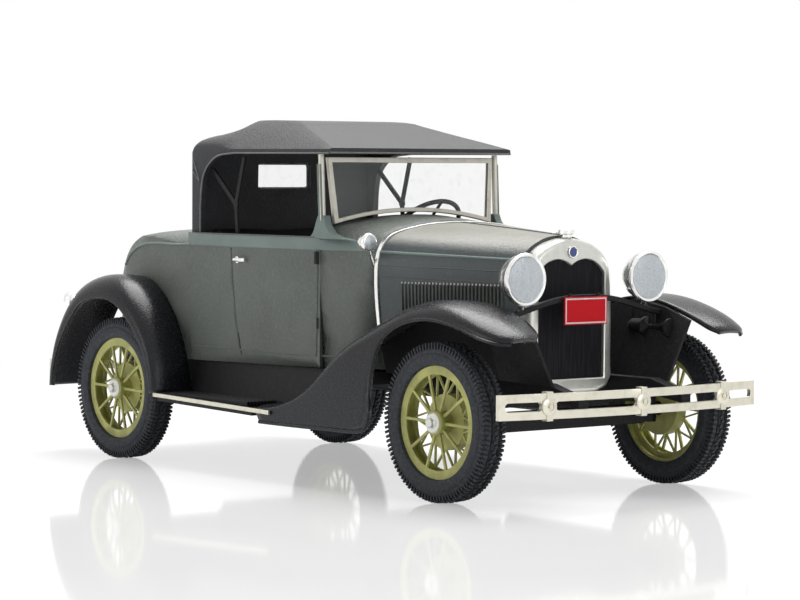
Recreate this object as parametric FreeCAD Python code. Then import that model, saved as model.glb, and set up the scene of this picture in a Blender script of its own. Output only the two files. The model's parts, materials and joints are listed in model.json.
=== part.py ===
"""Small-scale roadster (1:87) as an assembly of separate pieces.

Millimetres. The front faces -Y, the car's left side is +X, +Z is up.
Heights start at the floor the wheels stand on. Lengths along Y are first laid out from the
middle of the wheelbase; deliver() then moves every piece so that the origin is under the
middle of the whole model.
"""
import FreeCAD
import Part
import math
import os

Vector = FreeCAD.Vector

# ---- driving sizes -------------------------------------------------------------------------
wheelbase = 30.2
track = 16.5
front_end_y = -21.75
rear_end_y = 23.15
middle_y = (front_end_y + rear_end_y) / 2

tyre_radius = 4.29
tyre_width = 1.5
tyre_bore_radius = 3.02
wheel_plane_x = track / 2
front_axle_y = -wheelbase / 2
rear_axle_y = wheelbase / 2
axle_z = tyre_radius

rim_ring_inner_radius = 2.56
rim_band_radius = 2.86
rim_face_offset = 0.50
etch_thickness = 0.12
inner_layer_offset = -0.22
spoke_count = 10
outer_spoke_width = 0.15
inner_spoke_width = 0.09
spoke_phase_deg = 16.0
drum_radius = 1.5
drum_depth = 0.62
hub_radius = 0.62
hub_cap_offset = 0.84
stub_radius = 0.35
stub_clearance = 0.05

sill_z = 6.4
belt_low_z = 13.0
belt_top_z = 13.8
cowl_front_y = -6.6
screen_y = -2.35
cabin_rear_y = 10.3
tail_y = 20.8
wall = 0.55

shell_front_y = -16.0
shell_rear_y = -15.0
hood_front_y = shell_rear_y

roof_edge_z = 18.75
roof_fascia = 0.25
roof_half_width = 6.72
roof_skin = 0.35

rail_inner_x = 3.4
rail_outer_x = 4.1
rail_low_z = 5.5
rail_top_z = 6.35

board_outer_x = 9.4
board_inner_x = 7.0
board_thickness = 0.42

headlamp_x = 4.51
headlamp_y = -17.33
headlamp_z = 11.83
headlamp_radius = 1.42
lens_radius = 1.22

bumper_low_z = 4.78
bumper_top_z = 6.11
bumper_thickness = 0.26


# ---- small makers --------------------------------------------------------------------------
def line(start, end):
    return Part.LineSegment(start, end).toShape()


def curve(points):
    spline = Part.BSplineCurve()
    spline.interpolate(points)
    return spline.toShape()


def polygon_face(points):
    return Part.Face(Part.makePolygon(list(points) + [points[0]]))


def box(low, high):
    size = [high[i] - low[i] for i in range(3)]
    return Part.makeBox(size[0], size[1], size[2], Vector(*low))


def rod(start, end, radius):
    axis = end.sub(start)
    return Part.makeCylinder(radius, axis.Length, start, axis)


def turned(profile, centre, axis):
    """Solid of revolution. profile holds (distance along the axis, radius) corners, where the
    first and last lie on the axis or close a ring."""
    axis = Vector(axis).normalize()
    side = Vector(0, 0, 1)
    points = [centre + axis * along + side * radius for along, radius in profile]
    return polygon_face(points).revolve(centre, axis, 360)


def mirrored(shape):
    return shape.mirror(Vector(0, 0, 0), Vector(1, 0, 0))


def pair(shape):
    """The same piece on the car's left and right, as two solids in one node."""
    return Part.makeCompound([shape, mirrored(shape)])


def loft(wires, ruled=False):
    solid = Part.makeLoft(wires, True, ruled)
    if solid.Volume < 0:
        solid.reverse()
    return solid


def merge(shapes):
    return shapes[0].multiFuse(shapes[1:]).removeSplitter()


pieces = {}


def deliver(name, shape):
    if shape.Volume < 0:
        shape.reverse()
    moved = shape.copy()
    moved.translate(Vector(0, -middle_y, 0))
    pieces[name] = moved


# ---- wheels --------------------------------------------------------------------------------
def tyre(side, y):
    """side is +1 on the car's left. The sidewalls bulge past the tread's corners."""
    half = tyre_width / 2
    profile = [
        (-half * 0.62, tyre_bore_radius),
        (half * 0.62, tyre_bore_radius),
        (half * 0.9, tyre_bore_radius + 0.22),
        (half, tyre_bore_radius + 0.62),
        (half * 0.9, tyre_radius - 0.24),
        (half * 0.62, tyre_radius - 0.05),
        (half * 0.3, tyre_radius),
        (-half * 0.3, tyre_radius),
        (-half * 0.62, tyre_radius - 0.05),
        (-half * 0.9, tyre_radius - 0.24),
        (-half, tyre_bore_radius + 0.62),
        (-half * 0.9, tyre_bore_radius + 0.22),
    ]
    return turned(profile, Vector(side * wheel_plane_x, y, axle_z), Vector(side, 0, 0))


def flat_spoke(offset, start, end, width):
    """A flat strip in the wheel's plane, from start to end, each (y, z) about the axle."""
    along = Vector(0, end[0] - start[0], end[1] - start[1])
    across = Vector(0, -along.z, along.y).normalize() * (width / 2)
    first = Vector(offset, start[0], start[1])
    last = Vector(offset, end[0], end[1])
    face = polygon_face([first - across, last - across, last + across, first + across])
    return face.extrude(Vector(etch_thickness, 0, 0))


def ring(offset, depth, outer_radius, inner_radius):
    axis = Vector(1, 0, 0)
    disc = Part.makeCylinder(outer_radius, depth, Vector(offset, 0, 0), axis)
    return disc.cut(Part.makeCylinder(inner_radius, depth, Vector(offset, 0, 0), axis))


def polar(radius, degrees):
    angle = math.radians(degrees)
    return (radius * math.sin(angle), radius * math.cos(angle))


def spoke_wheel(side, y):
    """Two etched layers on a narrow band: ten flat radial spokes outside, crossed pairs inside
    around the drum, a hub sleeve that turns on the axle's stub, and the hub cap."""
    step = 360 / spoke_count
    outer_plane = rim_face_offset - etch_thickness
    band_back = -0.55
    parts = [
        ring(band_back, rim_face_offset - band_back, tyre_bore_radius, rim_band_radius),
        ring(outer_plane, etch_thickness, tyre_bore_radius, rim_ring_inner_radius),
        ring(inner_layer_offset, etch_thickness, rim_band_radius + 0.05, rim_ring_inner_radius),
        ring(inner_layer_offset - drum_depth, drum_depth + etch_thickness, drum_radius, hub_radius - 0.1),
        ring(-0.84, outer_plane + etch_thickness + 0.84, hub_radius, stub_radius + stub_clearance),
    ]
    for index in range(spoke_count):
        angle = spoke_phase_deg + index * step
        inner_end = polar(hub_radius - 0.08, angle)
        outer_end = polar(rim_ring_inner_radius + 0.1, angle)
        parts.append(flat_spoke(outer_plane, inner_end, outer_end, outer_spoke_width))
        for lean in (-1, 1):
            root = polar(drum_radius - 0.08, angle + lean * step / 2)
            tip = polar(rim_ring_inner_radius + 0.1, angle)
            parts.append(flat_spoke(inner_layer_offset, root, tip, inner_spoke_width))
    cap = turned(
        [
            (rim_face_offset, 0),
            (rim_face_offset, hub_radius + 0.04),
            (hub_cap_offset - 0.12, hub_radius + 0.04),
            (hub_cap_offset, hub_radius - 0.12),
            (hub_cap_offset, 0),
        ],
        Vector(0, 0, 0),
        Vector(1, 0, 0),
    )
    wheel = merge(parts + [cap])
    if side < 0:
        wheel = mirrored(wheel)
    wheel.translate(Vector(side * wheel_plane_x, y, axle_z))
    return wheel


for end_name, axle_y in (("front", front_axle_y), ("rear", rear_axle_y)):
    for side_name, side in (("left", 1), ("right", -1)):
        deliver("tyre_%s_%s" % (end_name, side_name), tyre(side, axle_y))
        deliver("spoke_wheel_%s_%s" % (end_name, side_name), spoke_wheel(side, axle_y))


# ---- running gear --------------------------------------------------------------------------
def stubs(y):
    reach = wheel_plane_x + 0.42
    return rod(Vector(-reach, y, axle_z), Vector(reach, y, axle_z), stub_radius)


def front_axle():
    """Dropped beam with a wide web between the wheels, and its two stubs."""
    beam_end = wheel_plane_x - 1.25
    beam_points = [
        Vector(-beam_end, front_axle_y - 0.3, axle_z + 0.3),
        Vector(-beam_end + 1.2, front_axle_y - 0.3, axle_z + 0.1),
        Vector(beam_end - 1.2, front_axle_y - 0.3, axle_z + 0.1),
        Vector(beam_end, front_axle_y - 0.3, axle_z + 0.3),
        Vector(beam_end, front_axle_y - 0.3, axle_z - 0.5),
        Vector(beam_end - 1.2, front_axle_y - 0.3, axle_z - 0.75),
        Vector(-beam_end + 1.2, front_axle_y - 0.3, axle_z - 0.75),
        Vector(-beam_end, front_axle_y - 0.3, axle_z - 0.5),
    ]
    beam = polygon_face(beam_points).extrude(Vector(0, 0.6, 0))
    knuckles = []
    for side in (-1, 1):
        centre = Vector(side * (beam_end - 0.25), front_axle_y, axle_z)
        knuckles.append(rod(centre - Vector(0, 0, 0.7), centre + Vector(0, 0, 0.7), 0.36))
    return merge([beam, stubs(front_axle_y)] + knuckles)


def rear_axle():
    """Axle tube with the differential's bulge in the middle, its stubs and the torque tube."""
    reach = wheel_plane_x + 0.42
    tube_end = wheel_plane_x - 1.2
    half = [(reach, 0), (reach, stub_radius), (tube_end, stub_radius), (tube_end, 0.5), (1.15, 0.52), (0.85, 0.8),
            (0.3, 1.05)]
    profile = [(-along, radius) for along, radius in half] + half[::-1]
    housing = turned(profile, Vector(0, rear_axle_y, axle_z), Vector(1, 0, 0))
    torque_tube = rod(Vector(0, rear_axle_y - 7.5, axle_z + 0.75), Vector(0, rear_axle_y - 0.5, axle_z), 0.34)
    return merge([housing, torque_tube])


def cross_spring(y, end_x, top_z, end_z):
    """Transverse leaf spring, thickest in the middle where the leaves stack."""
    upper = [Vector(x, y - 0.3, top_z - (top_z - end_z) * (abs(x) / end_x) ** 1.7)
             for x in (-end_x, -end_x / 2, 0, end_x / 2, end_x)]
    lower = [Vector(p.x, p.y, p.z - 0.16 - 0.4 * (1 - abs(p.x) / end_x)) for p in upper]
    outline = Part.Wire([curve(upper), line(upper[-1], lower[-1]), curve(lower[::-1]), line(lower[0], upper[0])])
    return Part.Face(outline).extrude(Vector(0, 0.6, 0))


def chassis():
    """Two rails with upswept front horns, cross members and the flat floor under the tub."""
    parts = []
    for side in (-1, 1):
        low_x, high_x = sorted((side * rail_inner_x, side * rail_outer_x))
        parts.append(box((low_x, -18.6, rail_low_z), (high_x, 21.2, rail_top_z)))
        horn = polygon_face([
            Vector(low_x, -18.6, rail_low_z),
            Vector(low_x, -18.6, rail_top_z),
            Vector(low_x, -20.3, rail_top_z - 0.45),
            Vector(low_x, -21.05, rail_top_z - 0.6),
            Vector(low_x, -21.05, rail_low_z - 0.35),
            Vector(low_x, -20.3, rail_low_z - 0.25),
        ]).extrude(Vector(high_x - low_x, 0, 0))
        parts.append(horn)
    for y in (-14.6, 20.0):
        parts.append(box((-rail_inner_x, y, rail_low_z + 0.25), (rail_inner_x, y + 1.0, rail_top_z)))
    parts.append(box((-rail_inner_x, -13.6, rail_low_z + 0.2), (rail_inner_x, -6.0, rail_low_z + 0.5)))
    parts.append(box((-6.3, -6.0, rail_low_z + 0.1), (6.3, 12.0, rail_top_z)))
    return merge(parts)


deliver("front_axle", front_axle())
deliver("rear_axle", rear_axle())
deliver("front_spring", cross_spring(front_axle_y + 0.02, 5.6, axle_z + 1.1, axle_z + 0.62))
deliver("rear_spring", cross_spring(rear_axle_y + 1.6, 5.4, axle_z + 1.15, axle_z + 0.35))
deliver("chassis_frame", chassis())


# ---- body ----------------------------------------------------------------------------------
def hoop(y, half_profile, base_z):
    """Closed section across the car: one curve over the top and a straight base. half_profile
    holds (x, z) from the foot of the left side up to the centre line."""
    right = [Vector(-x, y, z) for x, z in half_profile[:-1]]
    left = [Vector(x, y, z) for x, z in half_profile[:-1]]
    top = Vector(0, y, half_profile[-1][1])
    points = right + [top] + left[::-1]
    over = curve(points)
    foot_left = Vector(half_profile[0][0], y, base_z)
    foot_right = Vector(-half_profile[0][0], y, base_z)
    edges = [over]
    if abs(base_z - half_profile[0][1]) > 1e-6:
        edges += [line(points[-1], foot_left), line(foot_left, foot_right), line(foot_right, points[0])]
    else:
        edges.append(line(points[-1], points[0]))
    return Part.Wire(edges)


hood_base_z = 6.4
hood_front_profile = [
    (3.05, 6.5), (3.08, 9.0), (3.02, 11.5), (2.92, 12.5), (2.62, 13.1), (1.95, 13.6), (1.0, 13.98), (0, 14.1),
]
cowl_front_profile = [
    (5.62, 6.5), (5.9, 9.0), (6.12, 11.9), (5.95, 13.0), (5.42, 13.76), (4.3, 14.22), (2.3, 14.55), (0, 14.64),
]
cowl_rear_profile = [
    (6.42, 6.5), (6.56, 9.0), (6.66, 12.3), (6.5, 13.5), (6.0, 14.2), (4.6, 14.62), (2.5, 14.92), (0, 15.02),
]


def hood():
    middle = [((a[0] + b[0]) / 2 + 0.12, (a[1] + b[1]) / 2 + 0.02)
              for a, b in zip(hood_front_profile, cowl_front_profile)]
    middle[-1] = (0, middle[-1][1])
    half_way = (hood_front_y + cowl_front_y) / 2
    return loft([
        hoop(hood_front_y, hood_front_profile, hood_base_z),
        hoop(half_way, middle, hood_base_z),
        hoop(cowl_front_y - 0.04, cowl_front_profile, hood_base_z),
    ])


def cowl():
    front = hoop(cowl_front_y, cowl_front_profile, 6.5)
    rear = hoop(screen_y + 0.15, cowl_rear_profile, 6.5)
    return loft([front, rear], ruled=True)


def cowl_band():
    """Bright strip over the joint of hood and cowl, standing a little proud."""
    grow = 0.07
    profile = [(x + grow, z + grow * 0.8) for x, z in cowl_front_profile]
    profile[0] = (profile[0][0], 6.5)
    profile[-1] = (0, cowl_front_profile[-1][1] + grow)
    strip = loft([hoop(cowl_front_y - 0.16, profile, 6.5), hoop(cowl_front_y + 0.1, profile, 6.5)], ruled=True)
    shown = strip.common(box((-8, cowl_front_y - 1, 8.8), (8, cowl_front_y + 1, 16)))
    return shown.cut(hood()).cut(cowl())


plan_points = [
    (6.66, screen_y + 0.15), (6.95, 1.5), (7.05, 6.0), (6.95, cabin_rear_y), (6.6, 14.5), (6.05, 17.5), (5.35, 19.6),
]


def plan_prism():
    """The tub's outline from above: sides that swell at the doors, and a rounded tail."""
    left = [Vector(x, y, 5.0) for x, y in plan_points]
    right = [Vector(-x, y, 5.0) for x, y in plan_points]
    back_left = Vector(3.4, tail_y, 5.0)
    back_right = Vector(-3.4, tail_y, 5.0)
    corner_left = Part.Arc(left[-1], Vector(4.7, tail_y - 0.28, 5.0), back_left).toShape()
    corner_right = Part.Arc(back_right, Vector(-4.7, tail_y - 0.28, 5.0), right[-1]).toShape()
    outline = Part.Wire([
        curve(left), corner_left, line(back_left, back_right), corner_right,
        curve(right[::-1]), line(right[0], left[0]),
    ])
    return Part.Face(outline).extrude(Vector(0, 0, 10))


def side_prism():
    """The tub from the side: level door tops, then the deck falling into the round tail."""
    x = -8.0
    deck_start = Vector(x, cabin_rear_y, 14.12)
    tail_foot = Vector(x, tail_y, 6.0)
    deck = curve([
        deck_start, Vector(x, 13.0, 13.95), Vector(x, 15.5, 13.55), Vector(x, 17.6, 12.85),
        Vector(x, 19.2, 11.65), Vector(x, 20.2, 10.1), Vector(x, tail_y, 8.0), tail_foot,
    ])
    front = Vector(x, screen_y + 0.15, sill_z)
    shoulder = Vector(x, screen_y + 0.15, belt_top_z)
    step = Vector(x, cabin_rear_y, belt_top_z)
    outline = Part.Wire([
        line(front, shoulder), line(shoulder, step), line(step, deck_start), deck, line(tail_foot, front),
    ])
    return Part.Face(outline).extrude(Vector(16, 0, 0))


deck_profile = [
    (6.55, 5.9), (6.95, 9.5), (7.1, 12.4), (6.95, 13.0), (6.4, 13.45), (4.5, 13.85), (2.2, 14.08), (0, 14.15),
]
door_profile = [(6.6, 5.9), (6.95, 9.5), (7.1, 12.4), (7.1, 14.5)]


def door_prism(inset=0.0):
    """End view of the tub at the doors: sides that tuck in towards the sill."""
    left = [Vector(x - inset, -3.0, z) for x, z in door_profile]
    right = [Vector(-p.x, p.y, p.z) for p in left]
    outline = Part.Wire([curve(left), line(left[-1], right[-1]), curve(right[::-1]), line(right[0], left[0])])
    return Part.Face(outline).extrude(Vector(0, 25, 0))


def cabin_prism(inset):
    """The cabin's hollow, with walls of one thickness all round."""
    left = [Vector(x - inset, y, 7.2) for x, y in plan_points[:4]]
    right = [Vector(-p.x, p.y, p.z) for p in left]
    outline = Part.Wire([curve(left), line(left[-1], right[-1]), curve(right[::-1]), line(right[0], left[0])])
    hollow = Part.Face(outline).extrude(Vector(0, 0, 8))
    return hollow.common(box((-8, -1.9, 7.2), (8, cabin_rear_y - 0.45, 15)))


def door_lines(skin):
    """Shut lines of both doors, engraved into the skin from outside."""
    width = 0.12
    reach = 8.0
    cutters = []
    for y, foot_shift in ((-2.05, 0.1), (5.8, -0.4)):
        across = Vector(0, width / 2, 0)
        foot = Vector(-reach, y + foot_shift, 7.0)
        head = Vector(-reach, y, belt_low_z - 0.05)
        blade = polygon_face([foot - across, foot + across, head + across, head - across])
        cutters.append(blade.extrude(Vector(2 * reach, 0, 0)).cut(skin))
    return cutters


def body_tub():
    engraving = 0.13
    outer = side_prism().common(plan_prism())
    door_half = outer.common(door_prism()).common(box((-9, -4, 5), (9, cabin_rear_y, 15)))
    deck_end = Part.Face(hoop(cabin_rear_y, deck_profile, 5.9)).extrude(Vector(0, 12, 0))
    tub = door_half.fuse(outer.common(deck_end)).removeSplitter()
    tub = tub.cut(cabin_prism(wall))
    skin = door_prism(engraving).common(plan_prism_inset(engraving))
    for cutter in door_lines(skin):
        tub = tub.cut(cutter)
    return tub.cut(chassis())


def plan_prism_inset(inset):
    left = [Vector(x - inset, y, 5.0) for x, y in plan_points]
    right = [Vector(-p.x, p.y, p.z) for p in left]
    outline = Part.Wire([curve(left), line(left[-1], right[-1]), curve(right[::-1]), line(right[0], left[0])])
    return Part.Face(outline).extrude(Vector(0, 0, 10))


deliver("hood", hood())
deliver("cowl", cowl())
deliver("cowl_band", cowl_band())
deliver("body_tub", body_tub())


def belt_moulding():
    """Raised band round the tub at the door tops, from behind the screen to the rear corners."""
    proud = 0.09
    left = [Vector(x + proud, y, belt_low_z) for x, y in plan_points[:4]]
    inner = [Vector(x - 0.3, y, belt_low_z) for x, y in plan_points[:4]]
    outline = Part.Wire([curve(left), line(left[-1], inner[-1]), curve(inner[::-1]), line(inner[0], left[0])])
    band = Part.Face(outline).extrude(Vector(0, 0, belt_top_z - belt_low_z)).cut(body_tub())
    return pair(band)


deliver("belt_moulding", belt_moulding())


# ---- radiator ------------------------------------------------------------------------------
def shell_face(y, grow=0.0):
    """Outline of the radiator shell: flat foot with canted corners, straight flanks, round top."""
    half = [(1.85, 5.45), (2.72, 5.8), (3.1, 6.4)]
    top = [(3.1, 6.4), (3.05, 9.0), (2.95, 11.6), (2.72, 12.65), (1.95, 13.42), (1.0, 13.8), (0, 13.95)]
    right_foot = [Vector(-x - grow, y, z - grow) for x, z in half]
    left_foot = [Vector(x + grow, y, z - grow) for x, z in half]
    over_left = [Vector(x + grow, y, z + (grow if z > 12 else 0)) for x, z in top[:-1]]
    crest = Vector(0, y, top[-1][1] + grow)
    over_left[0] = left_foot[-1]
    over_right = [Vector(-p.x, p.y, p.z) for p in over_left]
    over = curve(over_left + [crest] + over_right[::-1])
    edges = [
        line(right_foot[0], left_foot[0]), line(left_foot[0], left_foot[1]), line(left_foot[1], left_foot[2]),
        over, line(right_foot[2], right_foot[1]), line(right_foot[1], right_foot[0]),
    ]
    return Part.Face(Part.Wire(edges))


def core_opening(y):
    """The window for the core, with two shallow arches at its top."""
    low = 6.3
    left = Vector(2.4, y, low)
    right = Vector(-2.4, y, low)
    left_top = Vector(2.42, y, 12.05)
    right_top = Vector(-2.42, y, 12.05)
    dip = Vector(0, y, 12.46)
    edges = [
        line(right, left),
        line(left, left_top),
        Part.Arc(left_top, Vector(1.45, y, 12.74), dip).toShape(),
        Part.Arc(dip, Vector(-1.45, y, 12.74), right_top).toShape(),
        line(right_top, right),
    ]
    return Part.Face(Part.Wire(edges))


def radiator_shell():
    depth = shell_rear_y - shell_front_y
    block = shell_face(shell_front_y).extrude(Vector(0, depth, 0))
    front_rim = [edge for edge in block.Edges
                 if abs(edge.BoundBox.YMax - shell_front_y) < 1e-3 and abs(edge.BoundBox.YMin - shell_front_y) < 1e-3]
    block = block.makeFillet(0.3, front_rim)
    window = core_opening(shell_front_y - 0.1).extrude(Vector(0, depth + 0.2, 0))
    return block.cut(window)


def radiator_core():
    recess = 0.22
    return core_opening(shell_front_y + recess).extrude(Vector(0, shell_rear_y - shell_front_y - recess, 0))


def radiator_cap():
    foot = Vector(0, -15.5, 13.96)
    stem = Part.makeCylinder(0.3, 0.22, foot)
    head = Part.makeCylinder(0.43, 0.26, foot + Vector(0, 0, 0.2))
    return stem.fuse(head).removeSplitter().cut(radiator_shell())


def badge_disc():
    centre = Vector(0, shell_front_y, 13.2)
    return rod(centre, centre + Vector(0, -0.07, 0), 0.3)


# ---- windscreen ----------------------------------------------------------------------------
screen_top_z = 18.3
screen_low_z = 14.5
screen_crown = 0.68
screen_top_x = 6.12
screen_low_x = 5.82
screen_lean = 0.28
screen_rail = 0.3
screen_depth = 0.26


def screen_face(inset, y):
    """Windscreen outline: level top, slightly wider than the foot, whose rail bows over the cowl."""
    low = screen_low_z + inset
    top = screen_top_z - inset
    foot_left = Vector(screen_low_x - inset, y, low)
    foot_right = Vector(-screen_low_x + inset, y, low)
    top_left = Vector(screen_top_x - inset, y, top)
    top_right = Vector(-screen_top_x + inset, y, top)
    crest = Vector(0, y, low + screen_crown - inset * 0.2)
    edges = [
        Part.Arc(foot_right, crest, foot_left).toShape(), line(foot_left, top_left),
        line(top_left, top_right), line(top_right, foot_right),
    ]
    return Part.Face(Part.Wire(edges))


def leaned(shape):
    angle = math.degrees(math.atan2(screen_lean, screen_top_z - screen_low_z))
    turned_shape = shape.copy()
    turned_shape.rotate(Vector(0, screen_y, screen_low_z), Vector(1, 0, 0), -angle)
    return turned_shape


def windscreen_frame():
    outer = screen_face(0, screen_y - screen_depth / 2).extrude(Vector(0, screen_depth, 0))
    inner = screen_face(screen_rail, screen_y - screen_depth).extrude(Vector(0, 2 * screen_depth, 0))
    return leaned(outer.cut(inner))


def windscreen_glass():
    return leaned(screen_face(screen_rail, screen_y - 0.04).extrude(Vector(0, 0.08, 0)))


def windscreen_posts():
    """Cast stanchions behind the screen's sides, standing on the ends of the belt."""
    foot = [(6.28, -2.12), (6.62, -2.12), (6.62, -1.2), (6.28, -1.2)]
    head = [(6.3, -1.85), (6.6, -1.85), (6.6, -1.3), (6.3, -1.3)]
    sections = [
        Part.makePolygon([Vector(x, y, z) for x, y in points + points[:1]])
        for points, z in ((foot, belt_top_z), (head, 18.5))
    ]
    return pair(loft(sections, ruled=True))


deliver("radiator_shell", radiator_shell())
deliver("radiator_core", radiator_core())
deliver("radiator_cap", radiator_cap())
deliver("badge_disc", badge_disc())
deliver("windscreen_frame", windscreen_frame())
deliver("windscreen_glass", windscreen_glass())
deliver("windscreen_posts", windscreen_posts())


# ---- folding top, moulded in one piece -----------------------------------------------------
top_rear_y = 10.25
top_stations = [
    (-3.15, 0.06), (-2.0, 0.36), (0.0, 0.85), (2.0, 1.36), (3.0, 1.6), (5.0, 1.7), (7.0, 1.7), (7.4, 1.6),
    (7.9, 1.36), (8.5, 1.13), (8.9, 1.0), (9.6, 0.9), (10.0, 0.76), (top_rear_y, 0.5),
]
ridge_front_y = 3.0
ridge_share = 0.6


def top_rise(share, y):
    """Height of the top as a share of its crown: a hipped ridge that turns boxy at the rear bow."""
    to_header = max(0.0, (ridge_front_y - y) / (ridge_front_y - top_stations[0][0]))
    flat = ridge_share + (0.97 - ridge_share) * to_header
    slope = min(1.0, (1 - share) / (1 - flat))
    hipped = 0.75 * slope + 0.25 * math.sin(math.pi / 2 * slope)
    boxy = (1 - share ** 7) ** 0.5
    turn = min(1.0, max(0.0, (y - 6.0) / 3.5))
    blend = turn * turn * (3 - 2 * turn)
    return hipped + (boxy - hipped) * blend


def arch_profile(half, crown, edge_z, y):
    """(x, z) from the edge to the crest of the top's cross-section."""
    shares = [1.0, 0.98, 0.92, 0.82, 0.7, 0.58, 0.3, 0.0]
    return [(half * share, edge_z + crown * top_rise(share, y)) for share in shares]


def arch_section(y, crown):
    """Closed band across the top: the crown outside, the same curve a skin lower, two short feet."""
    base_z = roof_edge_z - roof_fascia

    def over(half, height, edge_z):
        profile = arch_profile(half, height, edge_z, y)
        right = [Vector(-x, y, z) for x, z in profile[:-1]]
        left = [Vector(x, y, z) for x, z in reversed(profile[:-1])]
        return right + [Vector(0, y, profile[-1][1])] + left

    outer = over(roof_half_width, crown, roof_edge_z)
    inner = over(roof_half_width - roof_skin, max(crown - 0.1, 0.03), roof_edge_z - 0.22)
    foot_left = [Vector(roof_half_width, y, base_z), Vector(roof_half_width - roof_skin, y, base_z)]
    foot_right = [Vector(-p.x, y, base_z) for p in foot_left]
    corners = outer + foot_left + inner[::-1] + foot_right[::-1]
    return Part.makePolygon(corners + corners[:1])


def rear_quarters():
    """Side flaps at the rear corners, their front edges curving up into the top's edge."""
    x = roof_half_width - roof_skin
    top_z = roof_edge_z - roof_fascia + 0.1
    rear_y = top_rear_y - 0.1
    front_edge = curve([
        Vector(x, 9.4, belt_top_z), Vector(x, 9.38, 16.2), Vector(x, 9.15, 17.15), Vector(x, 8.55, 17.9),
        Vector(x, 7.7, 18.36), Vector(x, 6.8, top_z),
    ])
    corners = [
        Vector(x, 6.8, top_z), Vector(x, rear_y, top_z), Vector(x, rear_y, belt_top_z), Vector(x, 9.4, belt_top_z),
    ]
    straight = [line(start, end) for start, end in zip(corners, corners[1:])]
    outline = Part.Wire([front_edge] + straight)
    return pair(Part.Face(outline).extrude(Vector(roof_skin - 0.02, 0, 0)))


rear_window_half = 2.0
rear_window_low_z = 16.35
rear_window_top_z = 17.95


def window_prism(y, depth, shrink=0.0):
    half = rear_window_half - shrink
    low = rear_window_low_z + shrink
    block = box((-half, y, low), (half, y + depth, rear_window_top_z - shrink))
    upright = [edge for edge in block.Edges if edge.BoundBox.YLength > depth * 0.9]
    return block.makeFillet(0.22, upright)


def soft_top():
    """Moulded top: domed skin, fascia, rear curtain with its window, and the rear quarters."""
    skin = loft([arch_section(y, crown) for y, crown in top_stations], ruled=True)
    rear_profile = arch_profile(roof_half_width, top_stations[-1][1], roof_edge_z, top_rear_y)
    over = [Vector(-x, 0, z) for x, z in rear_profile[:-1]] + [Vector(x, 0, z) for x, z in rear_profile[::-1]]
    feet = [Vector(roof_half_width, 0, belt_top_z), Vector(-roof_half_width, 0, belt_top_z)]
    curtain = polygon_face([p + Vector(0, top_rear_y - roof_skin, 0) for p in over + feet])
    curtain = curtain.extrude(Vector(0, roof_skin, 0))
    curtain = curtain.cut(window_prism(top_rear_y - 1, 2))
    return merge([skin, curtain] + rear_quarters().Solids)


def rear_window_pane():
    return window_prism(top_rear_y - roof_skin / 2, 0.08)


def top_irons():
    """Flat V-shaped folding irons inside the side openings."""
    x = 6.2
    depth = 0.14
    half = 0.15

    def bar(start, end):
        along = Vector(0, end[0] - start[0], end[1] - start[1]).normalize()
        across = Vector(0, -along.z, along.y) * half
        first = Vector(x, start[0], start[1])
        last = Vector(x, end[0], end[1])
        return polygon_face([first - across, last - across, last + across, first + across]).extrude(
            Vector(depth, 0, 0))

    foot, knee = (6.25, belt_top_z + 0.02), (6.4, 15.5)
    knuckle = Part.makeCylinder(0.24, depth, Vector(x, knee[0], knee[1]), Vector(1, 0, 0))
    irons = merge([bar(foot, knee), bar(knee, (5.6, 18.3)), bar(knee, (8.7, 17.5)), knuckle])
    return pair(irons)


deliver("soft_top", soft_top())
deliver("rear_window_pane", rear_window_pane())
deliver("top_irons", top_irons())


# ---- cabin ---------------------------------------------------------------------------------
def seat_cushion():
    block = box((-5.9, 3.0, 7.22), (5.9, 8.2, 10.0))
    return block.makeFillet(0.5, [edge for edge in block.Edges if edge.BoundBox.ZMin > 9.9])


def seat_back():
    profile = [Vector(-5.9, 7.3, 10.02), Vector(-5.9, 8.8, 10.02), Vector(-5.9, 9.5, 14.0), Vector(-5.9, 8.6, 14.0)]
    return polygon_face(profile).extrude(Vector(11.8, 0, 0))


def dashboard():
    return box((-5.8, -1.88, 11.8), (5.8, -1.6, 14.2))


steering_x = 4.1
steering_radius = 2.3
column_angle = math.radians(45)


def steering_wheel():
    """Rim, four spokes, hub and the column that comes up through the dashboard."""
    along = Vector(0, math.cos(column_angle), math.sin(column_angle))
    up = Vector(0, -math.sin(column_angle), math.cos(column_angle))
    centre = Vector(steering_x, 1.6, 14.1)
    rim = Part.makeTorus(steering_radius, 0.14, centre, along)
    hub = rod(centre - along * 0.2, centre + along * 0.2, 0.36)
    column = rod(centre - along * 4.4, centre, 0.2)
    across = Vector(1, 0, 0)
    spokes = [
        rod(centre - direction * steering_radius, centre + direction * steering_radius, 0.09)
        for direction in (up, across)
    ]
    return merge([rim, hub, column] + spokes).cut(dashboard())


deliver("seat_cushion", seat_cushion())
deliver("seat_back", seat_back())
deliver("dashboard", dashboard())
deliver("steering_wheel", steering_wheel())


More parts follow.
